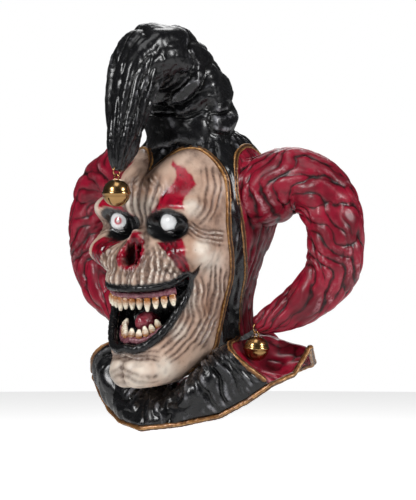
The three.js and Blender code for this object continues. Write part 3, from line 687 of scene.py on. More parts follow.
def grain_group() -> bpy.types.NodeTree:
    """The fine pores and strokes of cast latex, as a height and a roughness.

    Returns:
        The group's tree.
    """
    tree, nodes, given, out = new_group(
        Effect.GRAIN,
        (("Scale", "NodeSocketFloat"), ("Roughness", "NodeSocketFloat"), ("Spread", "NodeSocketFloat")),
        (("Height", "NodeSocketFloat"), ("Roughness", "NodeSocketFloat")),
    )
    fine = nodes.noise(given.outputs["Scale"], 6.0)
    patch = nodes.noise(nodes.maths("MULTIPLY", given.outputs["Scale"], 0.12), 2.0)
    spread = nodes.maths("MULTIPLY", nodes.maths("SUBTRACT", patch, 0.5), given.outputs["Spread"])
    nodes.feed(out.inputs["Height"], fine)
    nodes.feed(out.inputs["Roughness"], nodes.maths("ADD", given.outputs["Roughness"], spread))
    return tree


@dataclass(frozen=True)
class Finish:
    """A painted or bare surface. Each one is written once and shared by its pieces."""

    name: str
    slot: str
    base: Colour
    # The second colour is painted shade and dark glaze in creases, and also random clouds and specks; the
    # third is painted highlight and pale paint on ridges.
    wash: Colour
    brush: Colour
    roughness: float = 0.4
    spread: float = 0.3
    grain_scale: float = 900.0
    grain_depth: float = 0.25
    coat: float = 0.0
    coat_roughness: float = 0.15
    metallic: float = 0.0
    specular: float = 0.5
    streak_scale: float = 260.0
    mottle: Colour | None = None
    mottle_scale: float = 22.0

    def surface(self, nodes: Nodes) -> bpy.types.NodeSocket:
        """The colour under the painted shade and dark glaze of the creases, and the painted highlight and
        pale paint of the ridges.

        Args:
            nodes: Where the nodes go.

        Returns:
            The colour's output.
        """
        if self.mottle is None:
            clouds = nodes.span(nodes.noise(40.0), 0.3, 0.7, 0.0, 0.12)
            return mixed_colour(nodes, clouds, self.base, self.wash)
        share = nodes.span(nodes.noise(self.mottle_scale, 4.0), 0.42, 0.62)
        return mixed_colour(nodes, share, self.base, self.mottle)

    def gloss(self, nodes: Nodes, roughness: bpy.types.NodeSocket) -> bpy.types.NodeSocket:
        """The roughness that the shader gets."""
        return roughness

    def material(self) -> bpy.types.Material:
        """The finish as a material, made on first use.

        Returns:
            The material.
        """
        known = bpy.data.materials.get(self.name)
        if known:
            return known
        material = bpy.data.materials.new(self.name)
        material.use_nodes = True
        material.node_tree.nodes.clear()
        nodes = Nodes(material.node_tree)
        shader = nodes.add("ShaderNodeBsdfPrincipled")
        output = nodes.add("ShaderNodeOutputMaterial")
        nodes.feed(output.inputs["Surface"], shader.outputs["BSDF"])
        brushed_and_lit = nodes.add("ShaderNodeGroup", node_tree=bpy.data.node_groups[Effect.BRUSHED.value])
        nodes.feed(brushed_and_lit.inputs["Colour"], self.surface(nodes))
        brushed_and_lit.inputs["Wash"].default_value = self.wash
        brushed_and_lit.inputs["Brush"].default_value = self.brush
        # Painted shade from the crease tone, painted highlight from the ridge tone.
        nodes.feed(brushed_and_lit.inputs["Crease"], nodes.tone(Tone.CREASE))
        nodes.feed(brushed_and_lit.inputs["Ridge"], nodes.tone(Tone.RIDGE))
        brushed_and_lit.inputs["Scale"].default_value = self.streak_scale
        grain = nodes.add("ShaderNodeGroup", node_tree=bpy.data.node_groups[Effect.GRAIN.value])
        grain.inputs["Scale"].default_value = self.grain_scale
        grain.inputs["Roughness"].default_value = self.roughness
        grain.inputs["Spread"].default_value = self.spread
        bump = nodes.add("ShaderNodeBump")
        bump.inputs["Strength"].default_value = self.grain_depth
        bump.inputs["Distance"].default_value = 0.4 * MM
        nodes.feed(bump.inputs["Height"], grain.outputs["Height"])
        nodes.feed(shader.inputs["Base Color"], brushed_and_lit.outputs["Colour"])
        nodes.feed(shader.inputs["Roughness"], self.gloss(nodes, grain.outputs["Roughness"]))
        nodes.feed(shader.inputs["Normal"], bump.outputs["Normal"])
        shader.inputs["Metallic"].default_value = self.metallic
        shader.inputs["Specular IOR Level"].default_value = self.specular
        shader.inputs["Coat Weight"].default_value = self.coat
        shader.inputs["Coat Roughness"].default_value = self.coat_roughness
        return material


@dataclass(frozen=True)
class FaceFinish(Finish):
    """Cream latex with airbrushed tan, crimson make-up and black eye sockets."""

    # Pale cream on the face's bulges, partly pale paint and partly a painted highlight.
    pale: Colour = (0.80, 0.72, 0.62, 1.0)
    red: Colour = (0.34, 0.0015, 0.020, 1.0)
    # Deep red: painted shade in the red's creases, and random darker patches of the paint.
    deep_red: Colour = (0.085, 0.001, 0.006, 1.0)
    black: Colour = (0.006, 0.006, 0.007, 1.0)

    def surface(self, nodes: Nodes) -> bpy.types.NodeSocket:
        """Tan and cream in soft patches, with the pale places over them, partly pale paint and partly a
        painted highlight.

        Args:
            nodes: Where the nodes go.

        Returns:
            The colour's output.
        """
        patches = nodes.span(nodes.noise(self.mottle_scale, 4.0), 0.38, 0.66)
        skin = mixed_colour(nodes, patches, self.base, self.mottle)
        specks = nodes.span(nodes.noise(420.0, 2.0), 0.66, 0.78, 0.0, 0.5)
        lit = mixed_colour(nodes, nodes.tone(Tone.PALE), skin, self.pale)
        return mixed_colour(nodes, specks, lit, self.wash)

    def material(self) -> bpy.types.Material:
        """The face's material, with the make-up over the skin and its painted shade and highlight.

        Returns:
            The material.
        """
        known = bpy.data.materials.get(self.name)
        if known:
            return known
        material = super().material()
        nodes = Nodes(material.node_tree)
        shader = next(node for node in material.node_tree.nodes if node.type == "BSDF_PRINCIPLED")
        link = shader.inputs["Base Color"].links[0]
        washed_and_shaded = link.from_socket
        # Deep red as painted shade in the creases, and in random patches as the paint's own darker red.
        creased = nodes.span(nodes.tone(Tone.CREASE), 0.1, 0.8)
        shade_and_mottle = nodes.maths("MAXIMUM", creased, nodes.span(nodes.noise(210.0), 0.5, 0.68, 0.0, 0.7))
        red = mixed_colour(nodes, shade_and_mottle, self.red, self.deep_red)
        painted = mixed_colour(nodes, nodes.tone(Tone.RED), washed_and_shaded, red)
        made_up = mixed_colour(nodes, nodes.tone(Tone.BLACK), painted, self.black)
        nodes.feed(shader.inputs["Base Color"], made_up)
        return material

    def gloss(self, nodes: Nodes, roughness: bpy.types.NodeSocket) -> bpy.types.NodeSocket:
        """Make-up is wetter than the skin."""
        paint = nodes.maths("MAXIMUM", nodes.tone(Tone.RED), nodes.tone(Tone.BLACK))
        return nodes.maths("SUBTRACT", roughness, nodes.maths("MULTIPLY", paint, 0.26))


@dataclass(frozen=True)
class ToothFinish(Finish):
    """Ivory enamel, stained amber towards the gum."""

    amber: Colour = (0.36, 0.12, 0.02, 1.0)

    def surface(self, nodes: Nodes) -> bpy.types.NodeSocket:
        """Ivory at the tip and amber at the root."""
        return mixed_colour(nodes, nodes.span(nodes.tone(Tone.ROOT), 0.24, 0.78), self.base, self.amber)


@dataclass(frozen=True)
class EyeFinish(Finish):
    """Wet white enamel, with a painted red ring where the eye has one."""

    ring: Colour = (0.42, 0.01, 0.03, 1.0)

    def surface(self, nodes: Nodes) -> bpy.types.NodeSocket:
        """White, and the ring over it."""
        return mixed_colour(nodes, nodes.tone(Tone.RED), self.base, self.ring)


# In each finish below, the second colour gives painted shade in the creases over a dark glaze, and the third
# a painted highlight on the ridges with pale paint.
FLESH = FaceFinish(
    "cream_latex", "flesh", base=(0.65, 0.475, 0.37, 1.0), wash=(0.065, 0.026, 0.014, 1.0),
    brush=(0.84, 0.76, 0.67, 1.0), roughness=0.46, grain_scale=700.0, grain_depth=0.7, coat=0.1,
    mottle=(0.42, 0.25, 0.17, 1.0),
)
BLACK_LATEX = Finish(
    "brushed_and_lit_black_latex", "black_latex", base=(0.005, 0.005, 0.006, 1.0), wash=(0.002, 0.002, 0.002, 1.0),
    brush=(0.36, 0.36, 0.39, 1.0), roughness=0.26, coat=0.12, specular=0.4, streak_scale=150.0,
)
RED_LATEX = Finish(
    "brushed_and_lit_red_latex", "red_latex", base=(0.27, 0.005, 0.024, 1.0), wash=(0.004, 0.002, 0.002, 1.0),
    brush=(0.46, 0.24, 0.27, 1.0), roughness=0.36, coat=0.06, specular=0.32,
    mottle=(0.13, 0.003, 0.012, 1.0), mottle_scale=36.0,
)
GOLD_LATEX = Finish(
    "antique_gold_latex", "gold_latex", base=(0.29, 0.125, 0.032, 1.0), wash=(0.030, 0.012, 0.005, 1.0),
    brush=(0.62, 0.37, 0.14, 1.0), roughness=0.36, coat=0.2, metallic=0.35, mottle=(0.17, 0.065, 0.016, 1.0),
    mottle_scale=75.0,
)
WET_BLACK = Finish(
    "wet_black_latex", "lip", base=(0.007, 0.007, 0.008, 1.0), wash=(0.002, 0.002, 0.002, 1.0),
    brush=(0.04, 0.04, 0.045, 1.0), roughness=0.26, coat=0.12, specular=0.35,
)
GUM = Finish(
    "gum_latex", "gum", base=(0.20, 0.060, 0.085, 1.0), wash=(0.05, 0.010, 0.015, 1.0),
    brush=(0.42, 0.22, 0.25, 1.0), roughness=0.28, coat=0.4, mottle=(0.28, 0.11, 0.13, 1.0),
    mottle_scale=160.0,
)
TONGUE = Finish(
    "tongue_latex", "tongue", base=(0.26, 0.016, 0.035, 1.0), wash=(0.03, 0.002, 0.004, 1.0),
    brush=(0.34, 0.11, 0.14, 1.0), roughness=0.3, coat=0.4, mottle=(0.34, 0.07, 0.09, 1.0),
    mottle_scale=120.0,
)
ENAMEL = ToothFinish(
    "tooth_enamel", "tooth", base=(0.84, 0.76, 0.60, 1.0), wash=(0.22, 0.08, 0.02, 1.0),
    brush=(0.88, 0.82, 0.70, 1.0), roughness=0.25, coat=0.5, grain_depth=0.08,
)
EYE_WHITE = EyeFinish(
    "eye_enamel", "eye", base=(0.78, 0.79, 0.80, 1.0), wash=(0.3, 0.2, 0.2, 1.0),
    brush=(0.9, 0.9, 0.9, 1.0), roughness=0.12, spread=0.05, coat=0.8, grain_depth=0.02,
)
BRASS = Finish(
    "polished_brass", "brass", base=(0.40, 0.24, 0.10, 1.0), wash=(0.10, 0.05, 0.015, 1.0),
    brush=(0.86, 0.66, 0.36, 1.0), roughness=0.22, spread=0.16, grain_depth=0.06, metallic=1.0,
)


def dress(piece: bpy.types.Object, finish: Finish, *nodes: str) -> bpy.types.Object:
    """Gives a piece its finish and its place in the frame.

    Args:
        piece: The piece.
        finish: Its finish.
        nodes: The frame's nodes that it stands for.

    Returns:
        The same piece.
    """
    piece.data.materials.clear()
    piece.data.materials.append(finish.material())
    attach(piece, BODY)
    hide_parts(*nodes)
    LOG.info("%s stands for %s", piece.name, ", ".join(nodes))
    return piece


# The photograph's view


@dataclass(frozen=True)
class View:
    """The photograph's camera, and the way from the object to the picture."""

    azimuth: float = 38.0
    elevation: float = 2.0
    distance: float = 5600.0
    scale: float = 1.17
    middle: tuple[float, float, float] = (0.0, 0.0, -150.0)
    middle_pixel: tuple[float, float] = (200.0, 251.2)
    frame: tuple[int, int] = (416, 500)

    def axes(self) -> tuple[Array, Array, Array]:
        """The camera's right, up and forward directions.

        Returns:
            Three unit vectors.
        """
        turn, tilt = math.radians(self.azimuth), math.radians(self.elevation)
        right = np.array([math.cos(turn), math.sin(turn), 0.0])
        level = math.cos(tilt)
        forward = np.array([-math.sin(turn) * level, math.cos(turn) * level, -math.sin(tilt)])
        return right, np.cross(right, forward), forward

    def picture(self, points: Array) -> Array:
        """Where points show in the picture, as if all lay on the wearer's left.

        Args:
            points: Points in millimetres.

        Returns:
            Picture points, with the far side folded over onto the near one.
        """
        right, up, forward = self.axes()
        near = np.array(points, float)
        near[..., 0] = np.abs(near[..., 0])
        near = near - np.array(self.middle)
        size = self.distance / (self.distance + near @ forward) / self.scale
        across = self.middle_pixel[0] + (near @ right) * size
        down = self.middle_pixel[1] - (near @ up) * size
        return np.stack([across, down], axis=-1)

    def camera(self) -> bpy.types.Object:
        """Puts the camera where the photograph was taken from.

        Returns:
            The camera.
        """
        right, up, forward = self.axes()
        shift = (np.array(self.frame) / 2 - np.array(self.middle_pixel)) * self.scale
        target = np.array(self.middle) + right * shift[0] - up * shift[1]
        data = bpy.data.cameras.new("photo_camera")
        data.sensor_fit = "HORIZONTAL"
        data.lens = data.sensor_width * self.distance / (self.frame[0] * self.scale)
        data.clip_end = 60.0
        camera = bpy.data.objects.new("photo_camera", data)
        camera.location = Vector((target - forward * self.distance) * MM)
        camera.rotation_euler = Vector(forward).to_track_quat("-Z", "Y").to_euler()
        bpy.context.scene.collection.objects.link(camera)
        bpy.context.scene.camera = camera
        return camera


# The hood's form


@dataclass(frozen=True)
class Head:
    """The head form that the hood, the face and the horns are set out from."""

    half_width: float = 88.0
    depth: float = 100.0
    drop: float = 300.0
    wall: float = 3.0
    axis: float = -8.0
    fullness: float = 2.4
    levels: Table = Table(
        "height front back width lean",
        (
            (0.005, -0.24, 0.10, 0.17, 0),
            (-0.03, -0.50, 0.36, 0.46, 0),
            (-0.06, -0.60, 0.52, 0.60, 0),
            (-0.10, -0.69, 0.64, 0.70, 0),
            (-0.15, -0.82, 0.76, 0.82, 0),
            (-0.20, -0.98, 0.85, 0.895, 0),
            (-0.28, -1.02, 0.91, 0.955, 0),
            (-0.375, -1.04, 0.87, 0.995, 0),
            (-0.485, -1.04, 0.70, 0.915, 0),
            (-0.585, -1.00, 0.60, 0.795, 0),
            (-0.675, -0.92, 0.56, 0.705, 0.04),
            (-0.75, -0.88, 0.58, 0.685, 0.12),
            (-0.823, -0.86, 0.62, 0.705, 0.24),
        ),
    )
    seam: Table = Table(
        "height turn",
        (
            (-0.825, 91),
            (-0.70, 94),
            (-0.585, 92.5),
            (-0.485, 86),
            (-0.39, 80),
            (-0.275, 77),
            (-0.18, 79),
            (-0.12, 87),
            (-0.092, 101),
            (-0.098, 117),
            (-0.135, 131),
            (-0.20, 141),
            (-0.285, 147),
            (-0.375, 151),
            (-0.485, 153),
            (-0.585, 153),
            (-0.675, 152),
            (-0.82, 150),
        ),
    )

    @property
    def middle(self) -> Array:
        """The middle of the head."""
        return np.array([0.0, -0.1 * self.depth, -0.5 * self.drop])

    def points(self, shares: Array, turns: Array, margin: float = 0.0) -> Array:
        """Points of the form.

        Args:
            shares: Shares of the way from the crown to the neck, one for each point.
            turns: Angles from the front, one for each point.
            margin: How far outside the form the points lie.

        Returns:
            The points, in millimetres.
        """
        read = self.levels.read(shares.ravel())
        row = {name: values.reshape(shares.shape) for name, values in read.items()}
        side, forward = np.sin(turns), np.cos(turns)
        power = 2.0 / self.fullness
        front = self.axis - row["front"] * self.depth
        back = row["back"] * self.depth - self.axis
        run = np.where(forward > 0, front, back) + margin
        y = self.axis - np.sign(forward) * run * np.abs(forward) ** power
        x = np.sign(side) * (row["width"] * self.half_width + margin) * np.abs(side) ** power
        return np.stack([x, y, row["height"] * self.drop + row["lean"] * y], axis=-1)

    def share_at(self, height: Array) -> Array:
        """The share of the form's levels at heights given as shares of the drop.

        Args:
            height: The heights.

        Returns:
            One share for each height.
        """
        shares = np.linspace(0.0, 1.0, 400)
        heights = self.levels.read(shares)["height"]
        return np.interp(-np.asarray(height, float), -heights, shares)

    def in_wall(self, points: Array) -> Array:
        """Points moved to the middle of the hood's wall at their own level.

        Args:
            points: Rows of points in millimetres.

        Returns:
            The moved points.
        """
        row = self.levels.read(self.share_at(points[:, 2] / self.drop))
        ahead = points[:, 1] < self.axis
        run = np.where(ahead, self.axis - row["front"] * self.depth, row["back"] * self.depth - self.axis)
        side = np.abs(points[:, 0] / (row["width"] * self.half_width - self.wall / 2)) ** self.fullness
        forward = np.abs((points[:, 1] - self.axis) / (run - self.wall / 2)) ** self.fullness
        scale = (side + forward) ** (-1.0 / self.fullness)
        y = self.axis + (points[:, 1] - self.axis) * scale
        return np.stack([points[:, 0] * scale, y, points[:, 2]], axis=1)

    def bearing(self, points: Array) -> Array:
        """The angle from the front at which points lie, positive on both sides, with their heights."""
        turn = np.degrees(np.arctan2(np.abs(points[..., 0]), -(points[..., 1] - self.axis)))
        return np.stack([turn, points[..., 2]], axis=-1)

    def seam_points(self) -> Array:
        """The seam between the black middle and a red side, in the hood's wall."""
        shares = self.share_at(self.seam.column("height"))
        return self.points(shares, np.radians(self.seam.column("turn")), -self.wall / 2)


# The face


@dataclass(frozen=True)
class FoldField:
    """Folds along a spine that is drawn in the picture: how far they reach and how close they lie."""

    spine: tuple[tuple[float, float], ...]
    left: float
    right: float
    spacing: float
    depth: float
    wander: float
    seed: int

    def height(self, picture: Array) -> Array:
        """The folds' relief.

        Args:
            picture: Picture points.

        Returns:
            Millimetres of relief, at most 0.
        """
        beside, along = spine_place(picture, np.array(self.spine))
        whole = float(np.linalg.norm(np.diff(np.array(self.spine), axis=0), axis=1).sum())
        soft = 0.25 * (self.right - self.left)
        window = ease(self.left, self.left + soft, beside) * ease(self.right, self.right - soft, beside)
        window *= ease(-1.0, 0.12 * whole, along) * ease(whole + 1.0, 0.88 * whole, along)
        warp = self.wander * Lumps(self.seed + 50).at(picture / (4.5 * self.spacing))
        warp = warp + 0.3 * Lumps(self.seed + 60).at(picture / (1.8 * self.spacing))
        wave = np.abs(np.sin(math.pi * (beside / self.spacing + warp))) ** 0.85
        strength = 0.6 + 0.7 * Lumps(self.seed + 70).at(picture / (3.2 * self.spacing))
        return self.depth * window * np.clip(strength, 0.4, 1.2) * (wave - 0.6)


# Fold fields and paint outlines of the face, as picture points of its near side.
FACE_FOLDS = (
    FoldField(((193, 276), (200, 292), (200, 318), (190, 340), (164, 362)), -36, 13, 5.6, 3.0, 1.0, 1),
    FoldField(((217, 262), (216, 292), (207, 322), (192, 346)), -9, 14, 5.0, 2.4, 0.8, 2),
    FoldField(((147, 178), (157, 190), (154, 206)), -14, 12, 5.0, 2.0, 0.8, 3),
    FoldField(((187, 225), (199, 233), (212, 236), (225, 238)), -10, 10, 4.6, 2.6, 0.8, 4),
    FoldField(((192, 222), (205, 206), (213, 186), (210, 164)), -15, 13, 6.0, 2.4, 1.1, 5),
    FoldField(((110, 352), (126, 354), (142, 355), (162, 358)), -7, 10, 4.4, 2.4, 1.2, 6),
    FoldField(((158, 240), (168, 262), (184, 284)), -17, 22, 5.0, 2.4, 0.9, 7),
    FoldField(((112, 366), (124, 376), (140, 380), (160, 374)), -9, 9, 6.0, 1.6, 1.4, 8),
)
RED_FLAME = (
    (173.0, 160.5), (178, 164.5), (186, 167.5), (192, 175), (197.5, 184.5), (191, 191), (186.5, 196),
    (184, 203), (184.5, 210), (176, 209.5), (166, 208.5), (157, 213), (147, 220), (152, 211), (158, 202),
    (162, 192.5),
    (169, 187), (173.5, 181.5), (176.5, 175.5), (175, 170), (171, 165),
)
RED_TEAR = (
    (157, 242.5), (170, 240.5), (183, 238), (186, 247), (186, 257), (190, 266), (190, 277), (184, 277),
    (177, 267), (168, 256),
)
SOCKET_MIDDLE = (167.5, 225.5)
SOCKET_REACH = (21.5, 16.5)
LIP_CORNER = ((184, 276), (192, 272.5), (201.5, 264), (198, 273.5), (192, 283))
# Pale places on brow, cheek, chin and mouth corner, partly pale paint and partly a painted highlight on the
# bulges.
PALE_PLACES = (
    (203.0, 248.0, 9.0), (193.0, 208.0, 8.0), (133.0, 374.0, 19.0), (186.0, 300.0, 11.0), (148.0, 206.0, 9.0),
    (166.0, 370.0, 12.0), (178.0, 330.0, 9.0), (210.0, 262.0, 12.0), (118.0, 372.0, 9.0),
)


@dataclass
class Face:
    """The latex face: plain levels, raised by forms, folds and the sockets, painted from tones."""

    head: Head
    view: View
    rows: int = 214
    columns: int = 212
    relief: float = 18.0
    wall: float = 2.4
    edge_climb: float = 2.4
    snap_height: float = -0.79
    eye_middle: tuple[float, float, float] = (37.0, -100.0, -113.1)
    eye_radius: float = 12.9
    lid_opening: float = 12.0
    lid_wall: float = 1.3
    nose_pit: tuple[float, float, float] = (7.2, -152.0, 10.5)
    levels: Table = Table(
        "centre_depth centre_height edge_width edge_depth edge_height fullness arch",
        (
            (-1.0, -0.193, 0.818, -0.455, -0.2, 0.75, 0.1),
            (-1.04, -0.222, 0.85, -0.46, -0.22, 1.25, 0.07),
            (-1.08, -0.26, 0.875, -0.46, -0.255, 1.9, 0.038),
            (-1.1, -0.3, 0.895, -0.48, -0.295, 2.5, 0.012),
            (-1.1, -0.343, 0.907, -0.49, -0.338, 2.9, 0),
            (-1.07, -0.393, 0.909, -0.5, -0.39, 3, 0),
            (-1.14, -0.44, 0.9, -0.46, -0.44, 2.9, 0),
            (-1.25, -0.5, 0.865, -0.39, -0.495, 2.6, 0),
            (-1.33, -0.56, 0.81, -0.31, -0.55, 2.4, 0),
            (-1.37, -0.61, 0.757, -0.275, -0.6, 2.3, 0),
            (-1.38, -0.69, 0.7, -0.28, -0.665, 2.2, 0),
            (-1.38, -0.78, 0.665, -0.32, -0.735, 2.2, 0),
            (-1.4, -0.865, 0.64, -0.37, -0.8, 2.1, 0),
            (-1.44, -0.945, 0.62, -0.41, -0.855, 1.85, 0),
            (-1.41, -0.995, 0.59, -0.44, -0.885, 1.7, 0),
            (-1.28, -1.008, 0.555, -0.47, -0.905, 1.55, 0),
            (-1.03, -1.003, 0.515, -0.5, -0.92, 1.45, 0),
            (-0.77, -0.99, 0.47, -0.525, -0.93, 1.4, 0),
        ),
    )
    forms: Table = Table(
        "across height spread_across spread_up rise",
        (
            (0.5, -0.325, 0.3, 0.035, 0.5),
            (0.8, -0.335, 0.19, 0.05, 0.5),
            (0, -0.36, 0.12, 0.04, -0.2),
            (0.44, -0.398, 0.24, 0.046, -1.15),
            (0.84, -0.49, 0.28, 0.055, 1),
            (0, -0.44, 0.11, 0.05, 0.35),
            (0.17, -0.5, 0.07, 0.05, 0.3),
            (0.095, -0.508, 0.075, 0.034, -0.9),
            (0.5, -0.57, 0.3, 0.022, -0.25),
            (0.35, -0.59, 0.3, 0.025, 0.2),
            (1.05, -0.68, 0.12, 0.07, 0.35),
            (1.3, -0.7, 0.1, 0.09, -0.25),
            (0, -0.895, 0.35, 0.014, -0.35),
            (0.2, -0.955, 0.19, 0.045, 0.3),
            (0, -0.965, 0.045, 0.05, -0.35),
            (1.1, -0.36, 0.18, 0.07, -0.25),
        ),
    )
    skin: Skin = field(init=False)

    def level_shares(self, count: int) -> Array:
        """Shares of the levels, spaced evenly down the middle of the face.

        Args:
            count: How many steps to make.

        Returns:
            count + 1 shares.
        """
        shares = np.linspace(0.0, 1.0, 481)
        row = self.levels.read(shares)
        depth, height = row["centre_depth"] * self.head.depth, row["centre_height"] * self.head.drop
        profile = np.stack([depth, height], axis=1)
        run = np.concatenate([[0.0], np.cumsum(np.linalg.norm(np.diff(profile, axis=0), axis=1))])
        return np.interp(np.linspace(0.0, run[-1], count + 1), run, shares)

    def level(self, share: float, count: int) -> Array:
        """One plain level, from its middle to its edge.

        Args:
            share: The level's share of the way down.
            count: How many steps to make.

        Returns:
            count + 1 points.
        """
        row = {name: float(values[0]) for name, values in self.levels.read(share).items()}
        edge = np.array([
            row["edge_width"] * self.head.half_width,
            row["edge_depth"] * self.head.depth,
            row["edge_height"] * self.head.drop,
        ])
        if row["edge_height"] > self.snap_height:
            edge = self.head.in_wall(edge[None])[0]
        turn = np.linspace(0.0, math.pi / 2, 241)
        out = np.sin(turn) ** (2.0 / row["fullness"])
        forward = np.clip(np.cos(turn), 0.0, 1.0) ** (2.0 / row["fullness"])
        depth = edge[1] + (row["centre_depth"] * self.head.depth - edge[1]) * forward
        climb = out**self.edge_climb
        height = row["centre_height"] + (row["edge_height"] - row["centre_height"]) * climb
        height = height + row["arch"] * 4 * out * (1 - out)
        points = np.stack([edge[0] * out, depth, self.head.drop * height], axis=1)
        if share == 0.0:
            points = self.head.in_wall(points)
        return evenly(points, count)

    def edge(self) -> Array:
        """The face's edge, where its piping lies, once round.

        Returns:
            The edge's points.
        """
        shares = self.level_shares(12)
        side = [self.level(share, 5)[-1] for share in shares[1:-1]]
        half = np.concatenate([self.level(0.0, 5), side, self.level(1.0, 5)[::-1]])
        other = half[1:-1][::-1] * np.array([-1.0, 1.0, 1.0])
        return np.concatenate([half, other])

    def form_relief(self, across: Array, height: Array) -> Array:
        """The rounds and hollows of the face, in millimetres.

        Args:
            across: Length along the skin from the middle line.
            height: Height of each point.

        Returns:
            The relief at each point.
        """
        total = np.zeros(across.shape)
        for place, level, spread_across, spread_up, rise in self.forms.rows:
            up = (height / self.head.drop - level) / spread_up
            for side in (1, -1) if place else (1,):
                out = (side * across / self.head.half_width - place) / spread_across
                total += rise * np.exp(-out * out - up * up)
        return self.relief * total

    def fine_relief(self, points: Array, across: Array) -> Array:
        """Furrows, wrinkles and folds, in millimetres.

        Args:
            points: The formed face.
            across: Length along the skin from the middle line.

        Returns:
            The relief at each point.
        """
        picture = self.view.picture(points)
        x, z = points[..., 0], points[..., 2]
        height = sum(folds.height(picture) for folds in FACE_FOLDS)
        fan = across / (1.0 + 0.022 * np.clip(z + 112.0, 0.0, 60.0))
        brow = ease(-52.0, -72.0, z) * ease(-120.0, -108.0, z) * hump(across, 0.0, 26.0)
        height = height - 2.6 * brow * (0.6 - np.abs(np.sin(math.pi * (fan / 7.0 + 0.25))) ** 0.6)
        lip_line = -188.0 + 0.0045 * x**2
        rise = z - lip_line
        over_lip = ease(-3.0, 4.0, rise) * ease(40.0 + 0.2 * np.abs(x), 14.0, rise)
        over_lip *= ease(66.0, 44.0, np.abs(x))
        over_lip *= 1.0 - hump(across, 0.0, 15.0) * hump(z, -152.0, 20.0)
        lean = across - 0.16 * np.sign(across) * rise
        wander = 0.9 * Lumps(21).at(np.stack([lean / 9.0, z / 12.0], axis=-1))
        strings = np.abs(np.sin(math.pi * (lean / 7.8 + 0.6 * wander))) ** 0.6
        height = height - 3.6 * over_lip * (0.7 - strings)
        rough = Lumps(31).at(points / 5.0) + 0.5 * Lumps(32).at(points / 2.4)
        return height + 0.2 * rough + 0.8 * ease(-60.0, -75.0, points[..., 1])

    def in_pits(self, x: Array, z: Array, half_width: float) -> Array:
        """Where points of the front view lie in a pit of the nose.

        Args:
            x: Places across.
            z: Heights.
            half_width: Half the width of a pit.

        Returns:
            1 in a pit and 0 outside, with a soft edge.
        """
        across, level, half_height = self.nose_pit
        return np.exp(-(((np.abs(x) - across) / half_width) ** 4) - (((z - level) / half_height) ** 4))

    def nose_relief(self, points: Array) -> Array:
        """The two pits, the septum and the raised rim of the nose.

        Args:
            points: The formed face.

        Returns:
            The relief at each point.
        """
        x, z = points[..., 0], points[..., 2]
        front = ease(-40.0, -60.0, points[..., 1])
        width = 18.0 - 8.0 * np.clip((z + 152.0) / 24.0, 0.0, 1.0)
        reach = np.hypot(x / width, (z + 150.0) / np.where(z > -150.0, 24.0, 18.0))
        rim = 3.6 * hump(reach, 0.97, 0.18) * (1.0 + 0.7 * Lumps(41).at(points / 3.4))
        pits = -9.0 * self.in_pits(x, z, 3.6)
        hollow = -2.4 * ease(0.8, 0.5, reach) + 0.8 * Lumps(42).at(points / 3.0) * ease(0.95, 0.7, reach)
        return front * (rim + pits + hollow)

    def lidded(self, points: Array) -> Array:
        """The face with its lids drawn over the eyeballs.

        Args:
            points: The face with its relief.

        Returns:
            The moved points.
        """
        x, y, z = np.moveaxis(points, -1, 0)
        across = np.abs(x) - self.eye_middle[0]
        up = z - self.eye_middle[2]
        reach = np.hypot(across, 1.3 * up)
        ball = (self.eye_radius + self.lid_wall) ** 2
        lid = self.eye_middle[1] - np.sqrt(np.maximum(ball - np.hypot(across, up) ** 2, 0.0))
        crumple = 0.5 * Lumps(43).at(points / 3.0)
        near = ease(21.0, 13.5, reach)
        shaped = y + (np.minimum(lid + crumple, y) - y) * near
        open_eye = ease(self.lid_opening + 0.4, self.lid_opening - 1.2, reach)
        shaped = shaped + (self.eye_middle[1] + 1.0 - shaped) * open_eye
        front = y < -55.0
        return np.stack([x, np.where(front, shaped, y), z], axis=-1)

    def paint(self, skin: Skin) -> None:
        """Works out the make-up from the picture's outlines and writes it on the skin.

        Args:
            skin: The skin that takes the tones.
        """
        points = skin.points
        wobble = np.stack([Lumps(51).at(points / 6.0), Lumps(52).at(points / 6.0)], axis=-1)
        picture = self.view.picture(points) + 0.8 * wobble
        front = ease(-25.0, -50.0, points[..., 1])
        red = ease(-1.0, 1.4, outline_depth(picture, np.array(RED_FLAME)))
        red = np.maximum(red, ease(-1.0, 1.4, outline_depth(picture, np.array(RED_TEAR))))
        x, z = points[..., 0], points[..., 2]
        width = 20.5 - 9.0 * np.clip((z + 152.0) / 24.0, 0.0, 1.0)
        nose = np.hypot(x / width, (z + 149.0) / np.where(z > -149.0, 26.0, 20.0)) + 0.10 * wobble[..., 0]
        red = np.maximum(red, ease(1.08, 0.92, nose))
        pits = self.in_pits(x, z, 3.7)
        away = (picture - np.array(SOCKET_MIDDLE)) / np.array(SOCKET_REACH)
        socket = ease(1.1, 0.94, np.linalg.norm(away, axis=-1))
        inner = ease(2.2, 0.2, np.abs(z + 118.0 - 0.25 * (np.abs(x) - 22.0))) * ease(8.0, 14.0, np.abs(x))
        socket = np.maximum(socket, inner * ease(26.0, 20.0, np.abs(x)))
        lip = ease(7.5 + 1.6 * wobble[..., 0], 4.5, nearest(points, self.mouth_line(140)))
        skin.tones[Tone.RED] = red * front * (1.0 - 0.75 * pits)
        corner = ease(-1.0, 0.6, outline_depth(picture, np.array(LIP_CORNER)))
        lip = np.maximum(lip, corner)
        skin.tones[Tone.BLACK] = np.maximum(np.maximum(socket, lip), 0.8 * pits) * front
        # The pale places: pale paint and a painted highlight on the bulges.
        pale = np.zeros(x.shape)
        for across, down, reach in PALE_PLACES:
            gap = np.hypot(picture[..., 0] - across, picture[..., 1] - down)
            pale = np.maximum(pale, ease(1.6 * reach, 0.3 * reach, gap))
        skin.tones[Tone.PALE] = pale * front * (0.75 + 0.25 * wobble[..., 0])

